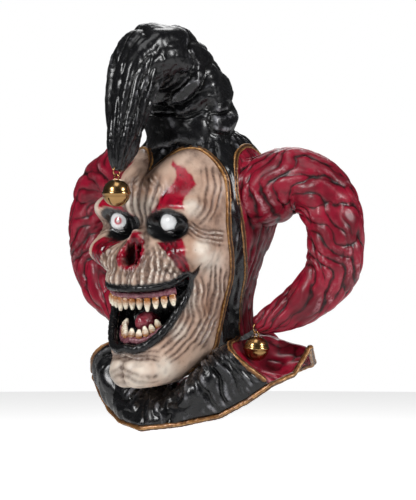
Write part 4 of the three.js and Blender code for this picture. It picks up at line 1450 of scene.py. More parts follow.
    def build(self) -> bpy.types.Object:
        """Builds and dresses the face.

        Returns:
            The face's piece.
        """
        half = self.columns // 2
        sides = np.stack([self.level(share, half) for share in self.level_shares(self.rows)])
        plain = np.concatenate([sides[:, :0:-1] * np.array([-1.0, 1.0, 1.0]), sides], axis=1)
        steps = np.linalg.norm(np.diff(sides, axis=1), axis=2)
        run = np.concatenate([np.zeros((self.rows + 1, 1)), np.cumsum(steps, axis=1)], axis=1)
        across = np.concatenate([-run[:, :0:-1], run], axis=1)
        formed = Skin(plain).raised(self.form_relief(across, plain[..., 2]))
        row_steps, column_steps = np.arange(self.rows + 1), np.arange(self.columns + 1)
        from_rows = np.minimum(row_steps, row_steps[::-1])[:, None] / 5.0
        edge = np.minimum(from_rows, np.minimum(column_steps, column_steps[::-1])[None] / 5.0)
        fine = self.fine_relief(formed.points, across) + self.nose_relief(formed.points)
        fine = fine * np.clip(edge, 0.0, 1.0)
        self.skin = formed.raised(fine)
        self.skin.points = self.lidded(self.skin.points)
        # The crease tone here is painted shade in the creases, in the broad hollows of the forms and in a
        # band along the face's edge by the piping, with a random stain over it; the ridge tone is a painted
        # highlight.
        self.skin.shaded_from_relief(fine, 0.95, 10)
        broad = self.form_relief(across, plain[..., 2]) + 2.0 * fine
        hollow = np.clip((blurred(broad, 90) - broad) / 5.0, 0.0, 0.45)
        rim = 0.28 * ease(14.0, 0.0, 5.0 * edge)
        wash = blurred(self.skin.tones[Tone.CREASE], 2) + 0.6 * blurred(self.skin.tones[Tone.CREASE], 12)
        stain = 0.35 * ease(0.1, 0.7, Lumps(33).at(self.skin.points / 11.0))
        self.skin.tones[Tone.CREASE] = np.clip(1.5 * wash + hollow + rim + stain, 0.0, 0.95)
        self.paint(self.skin)
        mouth = outline_depth(self.skin.points[..., [0, 2]], Mouth.outline(self.head, 1.0))
        kept = (mouth < -0.5) | (self.skin.points[..., 1] > -70.0)
        return dress(self.skin.piece("face_skin", self.wall, kept), FLESH, "face")

    def mouth_line(self, count: int) -> Array:
        """The lips' line on the skin, once round, in a number of steps.

        Args:
            count: How many steps to make.

        Returns:
            The line's points.
        """
        flat = Mouth.outline(self.head, 1.0)
        depth = self.depth_at(flat[:, 0], flat[:, 1]) + self.head.wall / 2
        return curve_through(np.stack([flat[:, 0], depth, flat[:, 1]], axis=1), count, closed=True)

    def depth_at(self, x: Array, z: Array) -> Array:
        """The depth of the face's skin behind points of the front view.

        Args:
            x: Places across.
            z: Heights.

        Returns:
            One depth for each point.
        """
        points = self.skin.points[(self.skin.points[..., 1] < -55.0)]
        found = []
        for across, up in zip(x, z):
            gap = np.hypot(points[:, 0] - across, points[:, 2] - up)
            near = np.argsort(gap)[:24]
            found.append(float(np.median(points[near, 1])))
        return np.array(found)


@dataclass
class Mouth:
    """Lips, lining, gums, teeth and tongue."""

    head: Head
    face: Face
    lip: float = 4.2
    tooth_share: float = 0.84
    half: Table = Table(
        "across height",
        (
            (0, -0.632),
            (0.2, -0.63),
            (0.39, -0.624),
            (0.55, -0.608),
            (0.665, -0.58),
            (0.62, -0.64),
            (0.54, -0.71),
            (0.45, -0.78),
            (0.31, -0.838),
            (0.15, -0.862),
            (0, -0.858),
        ),
    )

    @staticmethod
    def outline(head: Head, scale: float) -> Array:
        """The lips' line in the front view.

        Args:
            head: Whose sizes the outline's shares are of.
            scale: The outline's size, with 1 for the real one.

        Returns:
            Corners of x and z.
        """
        half = np.array(Mouth.half.rows) * np.array([head.half_width * scale, head.drop])
        return np.concatenate([half, half[1:-1][::-1] * np.array([-1.0, 1.0])])

    def lips(self) -> bpy.types.Object:
        """The glossy rim of the mouth, thin at its two corners.

        Returns:
            The dressed piece.
        """
        path = self.face.mouth_line(420)
        turns = 30
        from_corner = 0.665 * self.head.half_width - np.abs(path[:, 0])
        size = self.lip * (0.40 + 0.62 * ease(0.0, 16.0, from_corner))
        size = size * np.where(path[:, 2] > -0.66 * self.head.drop, 0.86, 1.12)
        reach = np.repeat(size[:, None], turns, axis=1)
        outward = np.repeat(np.array([[0.0, -1.0, 0.0]]), len(path), axis=0)
        skin = Tube(path, outward, True).skin(reach)
        crumple = 1.0 * (Lumps(61).folds(skin.points / 5.5) - 0.6)
        # Painted shade in the relief's creases and a painted highlight on its ridges.
        skin = skin.raised(crumple).shaded_from_relief(crumple, 0.5, 4)
        return dress(skin.piece("lip_rim"), WET_BLACK, "lips")

    def build(self) -> list[bpy.types.Object]:
        """Builds and dresses everything in the mouth.

        Returns:
            The pieces.
        """
        pieces = [self.lips()]
        lining = melted("mouth_lining", "mouth_bowl", 1.1, 4, Lumps(62), 7.0, 0.8, WET_BLACK, grow=-0.4)
        tongue = melted("tongue", "tongue_skin", 0.9, 6, Lumps(63), 3.0, 0.5, TONGUE)
        pieces += [lining, tongue]
        for row, count in (("upper", 11), ("lower", 9)):
            pieces.append(melted(f"{row}_gum", f"{row}_gum_skin", 0.8, 6, Lumps(64), 3.6, 0.7, GUM))
            for number in range(1, count + 1):
                node = f"{row}_tooth_{number}"
                pieces.append(self.tooth(node, -1.0 if row == "upper" else 1.0))
        return pieces

    def tooth(self, node: str, down: float) -> bpy.types.Object:
        """One rounded tooth in its node's place.

        Args:
            node: The frame's node.
            down: The way that the tooth points, as the sign of Z.

        Returns:
            The tooth's piece.
        """
        piece = melted(node, f"{node}_enamel", 0.55, 7, Lumps(65), 2.6, 0.15, ENAMEL, grow=0.85)
        height = np.array([corner.co.z for corner in piece.data.vertices])
        root_level = height.max() if down < 0 else height.min()
        height = root_level + self.tooth_share * (height - root_level)
        for corner, level in zip(piece.data.vertices, height):
            corner.co.z = level
        share = (height - height.min()) / max(float(np.ptp(height)), 1e-9)
        root = share if down < 0 else 1.0 - share
        write_tone(piece.data, Tone.ROOT, root)
        return piece


def write_tone(mesh: bpy.types.Mesh, tone: Tone, values: Array) -> None:
    """Keeps a tone on a mesh's points."""
    attribute = mesh.attributes.get(tone.value) or mesh.attributes.new(tone.value, "FLOAT", "POINT")
    attribute.data.foreach_set("value", np.asarray(values, np.float32).ravel())


def melted(
    node: str, name: str, voxel: float, rounds: int, lumps: Lumps, size: float, depth: float, finish: Finish,
    grow: float = 0.0,
) -> bpy.types.Object:
    """A soft piece made from its node's solid: remeshed fine, rounded, and given its own relief.

    Args:
        node: The frame's node.
        name: The piece's name.
        voxel: Remeshing step in millimetres.
        rounds: How often the surface is smoothed.
        lumps: The relief's lumps.
        size: Size of a lump in millimetres.
        depth: Depth of the relief in millimetres.
        finish: The piece's finish.
        grow: Millimetres that the rounding took, given back along the normals.

    Returns:
        The dressed piece.
    """
    source = FRAME_NODES[node]
    piece = bpy.data.objects.new(name, source.data.copy())
    piece.data.materials.clear()
    bpy.context.scene.collection.objects.link(piece)
    remesh = piece.modifiers.new("fine", "REMESH")
    remesh.mode = "VOXEL"
    remesh.voxel_size = voxel * MM
    smooth = piece.modifiers.new("round", "SMOOTH")
    smooth.iterations = rounds
    smooth.factor = 0.5
    graph = bpy.context.evaluated_depsgraph_get()
    mesh = bpy.data.meshes.new_from_object(piece.evaluated_get(graph))
    piece.modifiers.clear()
    piece.data = mesh
    count = len(mesh.vertices)
    points = np.empty(3 * count, np.float32)
    mesh.vertices.foreach_get("co", points)
    points = points.reshape(-1, 3).astype(float) / MM
    normals = np.empty(3 * count, np.float32)
    mesh.vertices.foreach_get("normal", normals)
    fold = lumps.folds(points / size)
    moved = points + normals.reshape(-1, 3) * (grow + depth * (fold - 0.8))[:, None]
    mesh.vertices.foreach_set("co", (moved * MM).astype(np.float32).ravel())
    # Painted shade in the creases between the lumps and a painted highlight on their backs.
    write_tone(mesh, Tone.CREASE, np.clip(0.6 - fold, 0.0, 1.0))
    write_tone(mesh, Tone.RIDGE, np.clip(1.6 * (fold - 0.72), 0.0, 1.0))
    mesh.shade_smooth()
    mesh.update()
    return dress(piece, finish, node)


@dataclass
class Eyes:
    """The two enamelled eyeballs."""

    face: Face
    rings: int = 40
    turns: int = 56
    clearance: float = 0.15
    gaze: tuple[float, float, float] = (0.35, -1.0, 0.05)
    ring_angle: float = 15.0
    ring_spread: float = 6.5

    def build(self) -> list[bpy.types.Object]:
        """Builds and dresses both eyeballs.

        Returns:
            The pieces.
        """
        pieces = []
        for side in Side:
            x, y, z = self.face.eye_middle
            middle = np.array([side.value * x, y, z])
            tilt = np.linspace(0.0005, 0.98, self.rings) * math.pi
            turn = np.linspace(0.0, 2 * math.pi, self.turns, endpoint=False)
            across = np.sin(tilt)[:, None]
            ahead = -np.cos(tilt)[:, None] * np.ones(self.turns)
            shape = np.stack([across * np.cos(turn), ahead, across * np.sin(turn)], axis=-1)
            skin = Skin(middle + (self.face.eye_radius - self.clearance) * shape, True).unshaded()
            angle = np.degrees(np.arccos(np.clip(shape @ unit(np.array(self.gaze)), -1.0, 1.0)))
            ringed = hump(angle, self.ring_angle, self.ring_spread)
            ring = ringed if side is Side.RIGHT else np.zeros(angle.shape)
            skin.tones[Tone.RED] = ring
            pieces.append(dress(skin.piece(f"eyeball_{side.word}"), EYE_WHITE, f"eye_{side.word}"))
        return pieces


# The hood, its horns and its collar


@dataclass
class Hood:
    """The latex hood in its black middle and its two red sides."""

    head: Head
    face: Face
    rows: int = 150
    columns: int = 320
    wall: float = 2.6
    far_below: float = -400.0

    def relief(self, points: Array) -> Array:
        """Long folds down the hood, closer on its sides.

        Args:
            points: The hood's points.

        Returns:
            The relief at each point.
        """
        turn = np.arctan2(points[..., 0], -points[..., 1])
        places = np.stack([9.0 * np.cos(turn), 9.0 * np.sin(turn), points[..., 2] / 34.0], axis=-1)
        broad = Lumps(71).folds(places) - 0.7
        fine = Lumps(72).folds(points / np.array([6.0, 6.0, 16.0]))
        return 3.0 * broad + 1.4 * (fine - 0.7)

    def build(self) -> list[bpy.types.Object]:
        """Builds and dresses the three panels.

        Returns:
            The pieces.
        """
        shares = np.repeat(np.linspace(0.0, 1.0, self.rows + 1)[:, None], self.columns, axis=1)
        turns = np.linspace(-math.pi, math.pi, self.columns, endpoint=False)
        turns = np.repeat(turns[None], self.rows + 1, axis=0)
        plain = Skin(self.head.points(shares, turns, 0.6), True)
        bearing = self.head.bearing(plain.points)
        seam = self.head.bearing(self.head.seam_points())
        below = np.array([[seam[-1, 0], self.far_below], [seam[0, 0], self.far_below]])
        in_side = outline_depth(bearing, np.concatenate([seam, below]))
        edge = self.face.edge()
        edge = edge[: len(edge) // 2 + 1]
        rim = self.head.bearing(edge[edge[:, 2] > self.face.snap_height * self.head.drop])
        foot = [[rim[-1, 0], self.far_below], [-5.0, self.far_below], [-5.0, rim[0, 1]]]
        rim = np.concatenate([rim, foot])
        in_opening = outline_depth(bearing, rim)
        beside = np.minimum(np.abs(in_side), np.abs(in_opening))
        height = self.relief(plain.points) * ease(1.0, 6.0, beside)
        # Painted shade in the relief's creases and a painted highlight on its ridges.
        skin = plain.raised(height).shaded_from_relief(height, 1.5, 8)
        side, opening = in_side > 0, in_opening > 0
        left = plain.points[..., 0] > 0
        pieces = [dress(skin.piece("hood_middle", self.wall, ~side & ~opening), BLACK_LATEX, "hood_centre")]
        for way in Side:
            kept = side & ~opening & (left if way is Side.LEFT else ~left)
            panel = skin.piece(f"hood_side_{way.word}", self.wall, kept)
            pieces.append(dress(panel, RED_LATEX, f"hood_{way.word}"))
        return pieces


@dataclass(frozen=True)
class HornForm:
    """A horn's centre line and radius."""

    rows: Table
    reach: float
    radius: float
    base: tuple[float, float, float]

    def line(self, shares: Array) -> tuple[Array, Array]:
        """The centre line's points and the radius at each.

        Args:
            shares: Shares of the horn's length.

        Returns:
            The points, and one radius for each.
        """
        row = self.rows.read(shares)
        out = row.get("out", np.zeros(len(shares)))
        points = np.stack([out, row["back"], row["up"]], axis=1) * self.reach + np.array(self.base)
        return points, row["radius"] * self.radius


CENTRE_HORN = HornForm(
    Table(
        "back up radius",
        (
            (-0.2, -0.5, 0.96),
            (-0.2, 0, 0.96),
            (-0.25, 0.32, 0.9),
            (-0.41, 0.62, 0.82),
            (-0.7, 0.87, 0.73),
            (-1.07, 0.95, 0.67),
            (-1.38, 0.82, 0.58),
            (-1.57, 0.47, 0.48),
            (-1.66, 0.1, 0.41),
            (-1.74, -0.26, 0.34),
            (-1.81, -0.5, 0.22),
            (-1.84, -0.66, 0.1),
        ),
    ),
    reach=82.0, radius=54.0, base=(0.0, 0.0, 0.0),
)
SIDE_HORN = HornForm(
    Table(
        "out back up radius",
        (
            (-0.4, 0.16, 0.36, 0.88),
            (0.0, 0.2, 0.38, 0.92),
            (0.33, 0.25, 0.52, 0.88),
            (0.6, 0.32, 0.5, 0.81),
            (0.82, 0.36, 0.33, 0.8),
            (0.97, 0.38, 0.04, 0.76),
            (1.01, 0.38, -0.28, 0.73),
            (0.96, 0.37, -0.61, 0.7),
            (0.76, 0.27, -0.92, 0.6),
            (0.47, 0.16, -1.14, 0.48),
            (0.25, 0.0, -1.27, 0.34),
            (0.09, -0.13, -1.34, 0.17),
        ),
    ),
    reach=90.0, radius=43.0, base=(87.56, -8.0, -112.5),
)


@dataclass
class Horns:
    """The drooping middle horn and the two side horns."""

    rows: int = 250
    turns: int = 150

    def centre_relief(self, points: Array, shares: Array, turn: Array) -> Array:
        """Folds pressed together at the root, running into long grooves at the tip.

        Args:
            points: The plain horn's points.
            shares: Shares of its length, one for each row.
            turn: Angle round the horn at each point.

        Returns:
            The relief at each point.
        """
        spoke = np.stack([np.cos(turn), np.sin(turn)], axis=-1)
        level = shares[:, None] * np.ones_like(turn)
        warp = 0.5 * Lumps(81).at(points / 22.0)[..., None]
        base = Lumps(82).folds(np.concatenate([1.3 * spoke + warp, 19.0 * level[..., None] + warp], axis=-1))
        tip = Lumps(83).folds(np.concatenate([2.7 * spoke + 0.4 * warp, 4.6 * level[..., None]], axis=-1))
        share = ease(0.34, 0.62, level)
        fine = Lumps(84).folds(points / 7.0)
        deep = 8.0 * (base - 0.62) * (1.0 - share) + 6.0 * (tip - 0.62) * share
        return deep + 0.8 * (fine - 0.6)

    def side_relief(self, points: Array, shares: Array, turn: Array) -> Array:
        """Slanting pleats that wind round the horn, over a few broad folds.

        Args:
            points: The plain horn's points.
            shares: Shares of its length, one for each row.
            turn: Angle round the horn at each point.

        Returns:
            The relief at each point.
        """
        level = shares[:, None] * np.ones_like(turn)
        wound = turn + 4.0 * level
        warp = 0.6 * Lumps(85).at(points / 26.0)[..., None]
        spoke = np.stack([np.cos(wound), np.sin(wound)], axis=-1)
        broad = Lumps(86).folds(np.concatenate([1.9 * spoke + warp, 5.0 * level[..., None]], axis=-1))
        finer = Lumps(87).folds(np.concatenate([3.9 * spoke + warp, 9.0 * level[..., None]], axis=-1))
        phase = 3.5 * turn / math.pi + 21.0 * level * (1.0 - 0.35 * level)
        phase = phase + 1.2 * Lumps(88).at(points / 34.0) + 0.16 * Lumps(89).at(points / 9.0)
        pleats = np.abs(np.sin(math.pi * phase)) ** 0.8
        strength = np.clip(0.75 + 0.8 * Lumps(90).at(points / 30.0), 0.2, 1.3)
        return 3.6 * strength * (pleats - 0.62) + 2.6 * (broad - 0.62) + 0.8 * (finer - 0.62)

    def skin(self, form: HornForm, aside: tuple[float, float, float], centre: bool) -> Skin:
        """One horn's skin, with its relief and its tones.

        Args:
            form: The horn's centre line and radius.
            aside: The way that its first turn points.
            centre: Whether it is the middle horn.

        Returns:
            The skin.
        """
        shares = np.linspace(0.0, 1.0, self.rows)
        path, radius = form.line(shares)
        radius = radius * np.where(shares > 0.5, rounded_ends(shares, 0.02), 1.0) + 0.02
        outward = np.repeat(np.array([aside]), self.rows, axis=0)
        plain = Tube(path, outward).skin(np.repeat((radius + 1.0)[:, None], self.turns, axis=1))
        turn = np.repeat(np.linspace(0.0, 2 * math.pi, self.turns, endpoint=False)[None], self.rows, axis=0)
        relief = self.centre_relief if centre else self.side_relief
        height = relief(plain.points, shares, turn)
        height = height * np.clip(radius / (0.45 * form.radius), 0.0, 1.0)[:, None]
        # Painted shade in the relief's creases and a painted highlight on its ridges.
        return plain.raised(height).shaded_from_relief(height, 1.8 if centre else 1.15, 9)

    def build(self) -> list[bpy.types.Object]:
        """Builds and dresses the three horns.

        Returns:
            The pieces.
        """
        middle = self.skin(CENTRE_HORN, (1.0, 0.0, 0.0), True)
        pieces = [dress(middle.piece("horn_skin_centre"), BLACK_LATEX, "horn_centre")]
        for side in Side:
            skin = self.skin(SIDE_HORN, (0.0, 1.0, 0.0), False)
            skin.points = skin.points * np.array([float(side.value), 1.0, 1.0])
            pieces.append(dress(skin.piece(f"horn_skin_{side.word}"), RED_LATEX, f"horn_{side.word}"))
        return pieces


@dataclass
class Collar:
    """The pointed collar: black in front and behind, red at the sides."""

    head: Head
    reach: float = 90.0
    rows: int = 46
    steps: int = 22
    wall: float = 2.6
    tuck: float = -0.24
    front_seam: int = 4
    back_seam: int = 8
    stations: Table = Table(
        "neck_out neck_back neck_up ridge_out ridge_back ridge_up hem_out hem_back hem_up",
        (
            (0, -0.745, -1.007, 0, -0.283, -0.283, 0, -0.411, -0.55),
            (0.295, -0.66, -0.995, 0.156, -0.336, -0.21, 0.178, -0.322, -0.53),
            (0.5, -0.51, -0.925, 0.356, -0.4, -0.105, 0.411, -0.178, -0.65),
            (0.62, -0.45, -0.885, 0.389, -0.339, -0.045, 0.6, -0.056, -0.59),
            (0.705, -0.08, -0.843, 0.378, -0.6, -0.111, 0.767, -0.3, -0.52),
            (0.705, 0.1, -0.833, 0.4, -0.178, -0.43, 0.844, -0.111, -0.43),
            (0.636, 0.3, -0.817, 0.5, 0.056, -0.08, 0.9, 0.022, -0.16),
            (0.5, 0.48, -0.8, 0.311, 0.267, -0.18, 0.622, 0.444, -0.467),
            (0.352, 0.57, -0.793, 0.144, 0.3, -0.2, 0.233, 0.522, -0.644),
            (0, 0.62, -0.79, 0, 0.289, -0.256, 0, 0.556, -0.811),
        ),
    )

    def section(self, place: Array, down: Array) -> Array:
        """Points of the collar.

        Args:
            place: Station numbers, with the far side counted below zero.
            down: Shares of the way from the neck to the hem.

        Returns:
            The points.
        """
        rows = np.array(self.stations.rows)
        last = len(rows) - 1
        station = np.abs(place)
        low = np.minimum(np.floor(station).astype(int), last - 1)
        part = (station - low)[..., None]
        mixed = rows[low] * (1 - part) + rows[low + 1] * part
        neck = mixed[..., :3] * np.array([self.head.half_width, self.head.depth, self.head.drop])
        ridge = neck + self.reach * mixed[..., 3:6]
        hem = neck + self.reach * mixed[..., 6:]
        control = 2 * ridge - (neck + hem) / 2
        down = down[..., None]
        points = (1 - down) ** 2 * neck + 2 * down * (1 - down) * control + down**2 * hem
        points[..., 0] *= np.where(place < 0, -1.0, 1.0)
        return points

    def build(self) -> list[bpy.types.Object]:
        """Builds and dresses the four panels.

        Returns:
            The pieces.
        """
        last = len(self.stations.rows) - 1
        place = np.linspace(-last, last, 2 * last * self.steps, endpoint=False)
        place = np.repeat(place[None], self.rows + 1, axis=0)
        start = self.tuck * hump(np.abs(place), 1.5, 1.0)
        down = start + (1.0 - start) * np.linspace(0.0, 1.0, self.rows + 1)[:, None]
        points = self.section(place, down)
        soft = np.stack([blurred(points[..., k], 3, True) for k in range(3)], axis=-1)
        plain = Skin(soft, True)
        warp = 0.4 * Lumps(91).at(points / 24.0)
        bank = np.stack([place * 1.9 + warp, 1.1 * down + 0.4 * warp], axis=-1)
        finer = np.stack([place * 4.3 + warp, 3.4 * down], axis=-1)
        height = 6.5 * (Lumps(92).folds(bank) - 0.65) + 3.0 * (Lumps(93).folds(finer) - 0.65)
        height = height * ease(0.0, 0.12, down) * ease(1.0, 0.9, down)
        # Painted shade in the relief's creases and a painted highlight on its ridges.
        skin = plain.raised(height).shaded_from_relief(height, 1.8, 7)
        station = np.abs(place)
        left = place > 0
        panels = (
            ("collar_skin_front", "collar_front", BLACK_LATEX, station <= self.front_seam),
            ("collar_skin_left", "collar_left", RED_LATEX, self.between(station) & left),
            ("collar_skin_right", "collar_right", RED_LATEX, self.between(station) & ~left),
            ("collar_skin_back", "collar_back", BLACK_LATEX, station >= self.back_seam),
        )
        return [dress(skin.piece(name, self.wall, kept), finish, node) for name, node, finish, kept in panels]

    def between(self, station: Array) -> Array:
        """Whether stations lie on a red side panel."""
        return (station >= self.front_seam) & (station <= self.back_seam)

    def hem(self) -> Array:
        """The hem's line, once round.

        Returns:
            The hem's points.
        """
        last = len(self.stations.rows) - 1
        place = np.linspace(-last, last, 8 * last, endpoint=False)
        return self.section(place, np.ones(place.shape))


@dataclass
class Piping:
    """The antique gold piping: two rolled ridges with a groove between them."""

    head: Head
    face: Face
    collar: Collar
    radius: float = 3.4
    turns: int = 26
    seam_end: float = 0.96

    def band(self, name: str, node: str, path: Array, outward: Array, closed: bool) -> bpy.types.Object:
        """One run of piping.

        Args:
            name: The piece's name.
            node: The frame's node.
            path: Its line.
            outward: The way that its groove faces, at each point.
            closed: Whether it joins its own start.

        Returns:
            The dressed piece.
        """
        turn = np.linspace(0.0, 2 * math.pi, self.turns, endpoint=False)[None]
        away = np.minimum(turn, 2 * math.pi - turn)
        groove = 1.0 - 0.34 * hump(away, 0.0, 0.36) + 0.10 * hump(away, 0.85, 0.4)
        reach = self.radius * groove * np.ones((len(path), 1))
        if not closed:
            reach = reach * rounded_ends(np.linspace(0.0, 1.0, len(path)), 0.006)[:, None] + 0.01
        skin = Tube(path, outward, closed).skin(reach)
        dents = 0.55 * (Lumps(101).folds(skin.points / 4.2) - 1.0)
        level = -2.2 * hump(away, 0.0, 0.32) + 0.8 * hump(away, 0.85, 0.3) - 0.7 * ease(1.4, 2.2, away)
        skin = skin.raised(dents)
        # Painted shade in the groove, in the dents and on the side that faces the hood, and a painted
        # highlight on the two rolls.
        tone = dents + level * np.ones((len(path), 1))
        skin.tones[Tone.CREASE] = np.clip(-0.9 * tone, 0.0, 1.0)
        skin.tones[Tone.RIDGE] = np.clip(1.1 * tone, 0.0, 1.0)
        return dress(skin.piece(name), GOLD_LATEX, node)

    def seam_line(self) -> Array:
        """The seam's line, up the front of the collar and the hood and down the back.

        Returns:
            The line's points.
        """
        front = np.array([1.0, 0.75, 0.5, 0.25]) * self.seam_end
        back = np.array([0.3, 0.65, 1.0]) * self.seam_end
        up = self.collar.section(np.full(4, float(self.collar.front_seam)), front)
        down = self.collar.section(np.full(3, float(self.collar.back_seam)), back)
        return curve_through(np.concatenate([up, self.head.seam_points(), down]), 620)

    def seam_outward(self, path: Array) -> Array:
        """The way that a seam faces: out from the hood, and up from the collar.

        Args:
            path: The seam's points.

        Returns:
            One direction for each point.
        """
        out = unit((path - np.array([0.0, self.head.axis, 0.0])) * np.array([1.0, 1.0, 0.0]))
        crown = np.clip(1 + path[:, 2:] / (0.4 * self.head.drop), 0.0, 1.0)
        below = self.face.snap_height * self.head.drop - path[:, 2:]
        on_collar = np.clip(below / (0.05 * self.head.drop), 0.0, 1.0)
        over = out + np.array([0.0, 0.0, 0.9]) * crown
        return over * (1 - on_collar) + (0.4 * out + np.array([0.0, 0.0, 0.9])) * on_collar

    def build(self) -> list[bpy.types.Object]:
        """Builds and dresses all four runs.

        Returns:
            The pieces.
        """
        rim = curve_through(self.face.edge(), 640, closed=True)
        hem = curve_through(self.collar.hem(), 760, closed=True)
        pieces = [
            self.band("gold_face_rim", "piping_face", rim, rim - self.head.middle, True),
            self.band("gold_hem", "piping_hem", hem, hem - self.head.middle, True),
        ]
        for side in Side:
            path = self.seam_line()
            outward = self.seam_outward(path)
            mirror = np.array([float(side.value), 1.0, 1.0])
            name = f"gold_seam_{side.word}"
            pieces.append(self.band(name, f"piping_{side.word}", path * mirror, outward * mirror, False))
        return pieces


BOX_FACES = np.array([[0, 2, 3, 1], [4, 5, 7, 6], [0, 1, 5, 4], [2, 6, 7, 3], [0, 4, 6, 2], [1, 3, 7, 5]])


@dataclass
class Bells:
    """The three brass bells and the rings that they hang by."""

    wire: float = 0.9
    loop: float = 3.2
    wall: float = 1.2
    slot: float = 2.2
    turns: int = 64
    rings: int = 44
    wire_steps: int = 48
    wire_sides: int = 12

    def ring_of_wire(self, middle: Array, radius: float, axis: int) -> Skin:
        """A round ring of wire.

        Args:
            middle: Its middle.
            radius: Its radius.
            axis: The axis through it, 0 for X and 1 for Y.

        Returns:
            The ring's skin.
        """
        turn = np.linspace(0.0, 2 * math.pi, self.wire_steps, endpoint=False)
        spoke = np.zeros((self.wire_steps, 3))
        spoke[:, 1 - axis] = np.cos(turn)
        spoke[:, 2] = np.sin(turn)
        reach = np.full((self.wire_steps, self.wire_sides), self.wire)
        return Tube(middle + radius * spoke, spoke, True).skin(reach).unshaded()

    def shell(self, middle: Array, radius: float) -> Skin:
        """The bell's ball, with its rolled belt, down to the pole below.

        Args:
            middle: The ball's middle.
            radius: Its radius.

        Returns:
            The ball's skin.
        """
        tilt = np.linspace(0.01, 0.99, self.rings) * math.pi
        belt = self.wall * 0.7 * hump(np.degrees(tilt), 90.0, 6.0)
        groove = 0.35 * hump(np.degrees(tilt), 78.0, 3.0) + 0.35 * hump(np.degrees(tilt), 102.0, 3.0)
        reach = radius + belt - groove
        turn = np.linspace(0.0, 2 * math.pi, self.turns, endpoint=False)
        across = (reach * np.sin(tilt))[:, None]
        up = (reach * np.cos(tilt))[:, None] * np.ones(self.turns)
        points = middle + np.stack([across * np.cos(turn), across * np.sin(turn), up], axis=-1)
        skin = Skin(points, True)
        # Painted shade in the two grooves beside the belt.
        groove_shade = np.clip(groove * 1.8, 0.0, 0.7)[:, None] * np.ones(self.turns)
        skin.tones = {Tone.CREASE: groove_shade, Tone.RIDGE: np.zeros(groove_shade.shape)}
        return skin

    def build(self) -> list[bpy.types.Object]:
        """Builds and dresses the bells and rings.

        Returns:
            The pieces.
        """
        pieces = []
        for where in ("left", "right", "centre"):
            low, high = (np.array(corner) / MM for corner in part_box(f"ring_{where}"))
            middle = (low + high) / 2
            ring = self.ring_of_wire(middle, (high[2] - low[2]) / 2 - self.wire, 0)
            pieces.append(dress(ring.piece(f"jump_ring_{where}"), BRASS, f"ring_{where}"))
            low, high = (np.array(corner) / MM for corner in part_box(f"bell_{where}"))
            radius = (high[0] - low[0]) / 2 - self.wall / 2
            centre = np.array([(low[0] + high[0]) / 2, (low[1] + high[1]) / 2, low[2] + radius])
            shell = self.shell(centre, radius)
            ball = self.slotted(shell.piece(f"bell_shell_{where}", self.wall), centre, radius)
            loop_middle = np.array([centre[0], centre[1], high[2] - self.loop - self.wire])
            loop = self.ring_of_wire(loop_middle, self.loop, 1).piece(f"bell_loop_{where}")
            pieces.append(dress(ball, BRASS, f"bell_{where}"))
            pieces.append(dress(loop, BRASS, f"bell_{where}"))
        return pieces

    def slotted(self, ball: bpy.types.Object, centre: Array, radius: float) -> bpy.types.Object:
        """Cuts the cross of slots into the lower half of a bell.

        Args:
            ball: The bell's ball.
            centre: Its middle.
            radius: Its radius.

        Returns:
            The same ball, cut.
        """
        for across, along in ((2.4 * radius, self.slot), (self.slot, 2.4 * radius)):
            half = np.array([across, along, radius]) / 2
            middle = centre - np.array([0.0, 0.0, 0.85 * radius])
            signs = np.array([[x, y, z] for z in (-1, 1) for y in (-1, 1) for x in (-1, 1)], float)
            cutter = mesh_object("slot_cutter", middle + signs * half, BOX_FACES, {})
            cut = ball.modifiers.new("slot", "BOOLEAN")
            cut.operation = "DIFFERENCE"
            cut.object = cutter
            graph = bpy.context.evaluated_depsgraph_get()
            mesh = bpy.data.meshes.new_from_object(ball.evaluated_get(graph))
            ball.modifiers.clear()
            ball.data = mesh
            bpy.data.objects.remove(cutter)
        return ball


# The studio


@dataclass(frozen=True)
class SoftBox:
    """A lamp: its azimuth and elevation as the camera's, its distance and edge in metres, its watts."""

    name: str
    turn: float
    up: float
    far: float
    size: float
    power: float


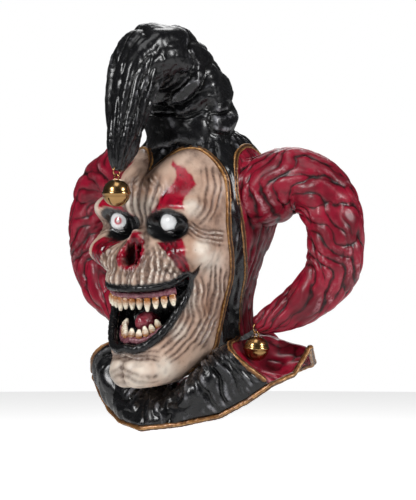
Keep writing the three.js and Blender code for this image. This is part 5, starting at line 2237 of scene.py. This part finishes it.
@dataclass
class Studio:
    """A plain pale floor, four soft boxes and an even white sky."""

    floor: float = -520.0
    reach: float = 3200.0
    target: tuple[float, float, float] = (0.0, 0.0, -0.15)
    boxes: tuple[SoftBox, ...] = (
        SoftBox("key_box", turn=-4.0, up=28.0, far=2.0, size=0.5, power=27.0),
        SoftBox("side_box", turn=96.0, up=24.0, far=2.0, size=0.5, power=24.0),
        SoftBox("top_box", turn=30.0, up=76.0, far=2.2, size=0.9, power=9.0),
        SoftBox("back_box", turn=215.0, up=35.0, far=2.4, size=1.0, power=14.0),
    )

    def ground(self) -> bpy.types.Object:
        """The round floor.

        Returns:
            The floor's object.
        """
        radius = np.linspace(1.0, self.reach, 12)[:, None]
        turn = np.linspace(0.0, 2 * math.pi, 72, endpoint=False)
        points = np.stack(
            [radius * np.cos(turn), radius * np.sin(turn), self.floor * np.ones((12, 72))], axis=-1
        )
        floor = Skin(points, True).piece("studio_floor")
        material = bpy.data.materials.new("pale_paper")
        material.use_nodes = True
        nodes = Nodes(material.node_tree)
        shader = material.node_tree.nodes["Principled BSDF"]
        tint = mixed_colour(nodes, nodes.noise(3.0), (0.90, 0.90, 0.90, 1.0), (0.93, 0.93, 0.93, 1.0))
        nodes.feed(shader.inputs["Base Color"], tint)
        shader.inputs["Roughness"].default_value = 0.9
        shader.inputs["Emission Color"].default_value = (1.0, 1.0, 1.0, 1.0)
        seen = nodes.add("ShaderNodeLightPath").outputs["Is Camera Ray"]
        nodes.feed(shader.inputs["Emission Strength"], nodes.span(seen, 0.0, 1.0, 0.12, 0.7))
        floor.data.materials.append(material)
        return floor

    def sky(self) -> None:
        """White where the camera sees it, and dim where it lights the object."""
        world = bpy.data.worlds.new("even_sky")
        world.use_nodes = True
        nodes = Nodes(world.node_tree)
        dim = world.node_tree.nodes["Background"]
        dim.inputs["Color"].default_value = (1.0, 1.0, 1.0, 1.0)
        dim.inputs["Strength"].default_value = 0.06
        seen = nodes.add("ShaderNodeBackground")
        seen.inputs["Color"].default_value = (1.0, 1.0, 1.0, 1.0)
        mixed = nodes.add("ShaderNodeMixShader")
        nodes.feed(mixed.inputs["Fac"], nodes.add("ShaderNodeLightPath").outputs["Is Camera Ray"])
        nodes.feed(mixed.inputs[1], dim.outputs["Background"])
        nodes.feed(mixed.inputs[2], seen.outputs["Background"])
        nodes.feed(world.node_tree.nodes["World Output"].inputs["Surface"], mixed.outputs["Shader"])
        bpy.context.scene.world = world

    def lamp(self, box: SoftBox) -> bpy.types.Object:
        """Hangs a soft box that looks at the object.

        Args:
            box: The soft box.

        Returns:
            The lamp.
        """
        data = bpy.data.lights.new(box.name, "AREA")
        data.shape = "RECTANGLE"
        data.size = box.size
        data.size_y = 1.5 * box.size
        data.energy = box.power
        lamp = bpy.data.objects.new(box.name, data)
        turn, up = math.radians(box.turn), math.radians(box.up)
        way = Vector((math.sin(turn) * math.cos(up), -math.cos(turn) * math.cos(up), math.sin(up)))
        lamp.location = Vector(self.target) + box.far * way
        lamp.rotation_euler = (-way).to_track_quat("-Z", "Y").to_euler()
        bpy.context.scene.collection.objects.link(lamp)
        return lamp

    def build(self) -> None:
        """Builds the floor, the sky and the lamps."""
        self.ground()
        self.sky()
        for box in self.boxes:
            self.lamp(box)
        bpy.context.scene.view_settings.view_transform = "Standard"


def main() -> None:
    """Dresses the whole mask and reports each piece."""
    logging.basicConfig(level=logging.INFO, format="%(name)s: %(message)s")
    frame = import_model()
    FRAME_NODES.update(frame["nodes"])
    brushed_and_lit_group()
    grain_group()
    head, view = Head(), View()
    view.camera()
    Studio().build()
    face = Face(head, view)
    pieces = [face.build()]
    pieces += Mouth(head, face).build()
    pieces += Eyes(face).build()
    pieces += Hood(head, face).build()
    pieces += Horns().build()
    collar = Collar(head)
    pieces += collar.build()
    pieces += Piping(head, face, collar).build()
    pieces += Bells().build()
    LOG.info("%d pieces", len(pieces))


if __name__ == "__main__":
    main()
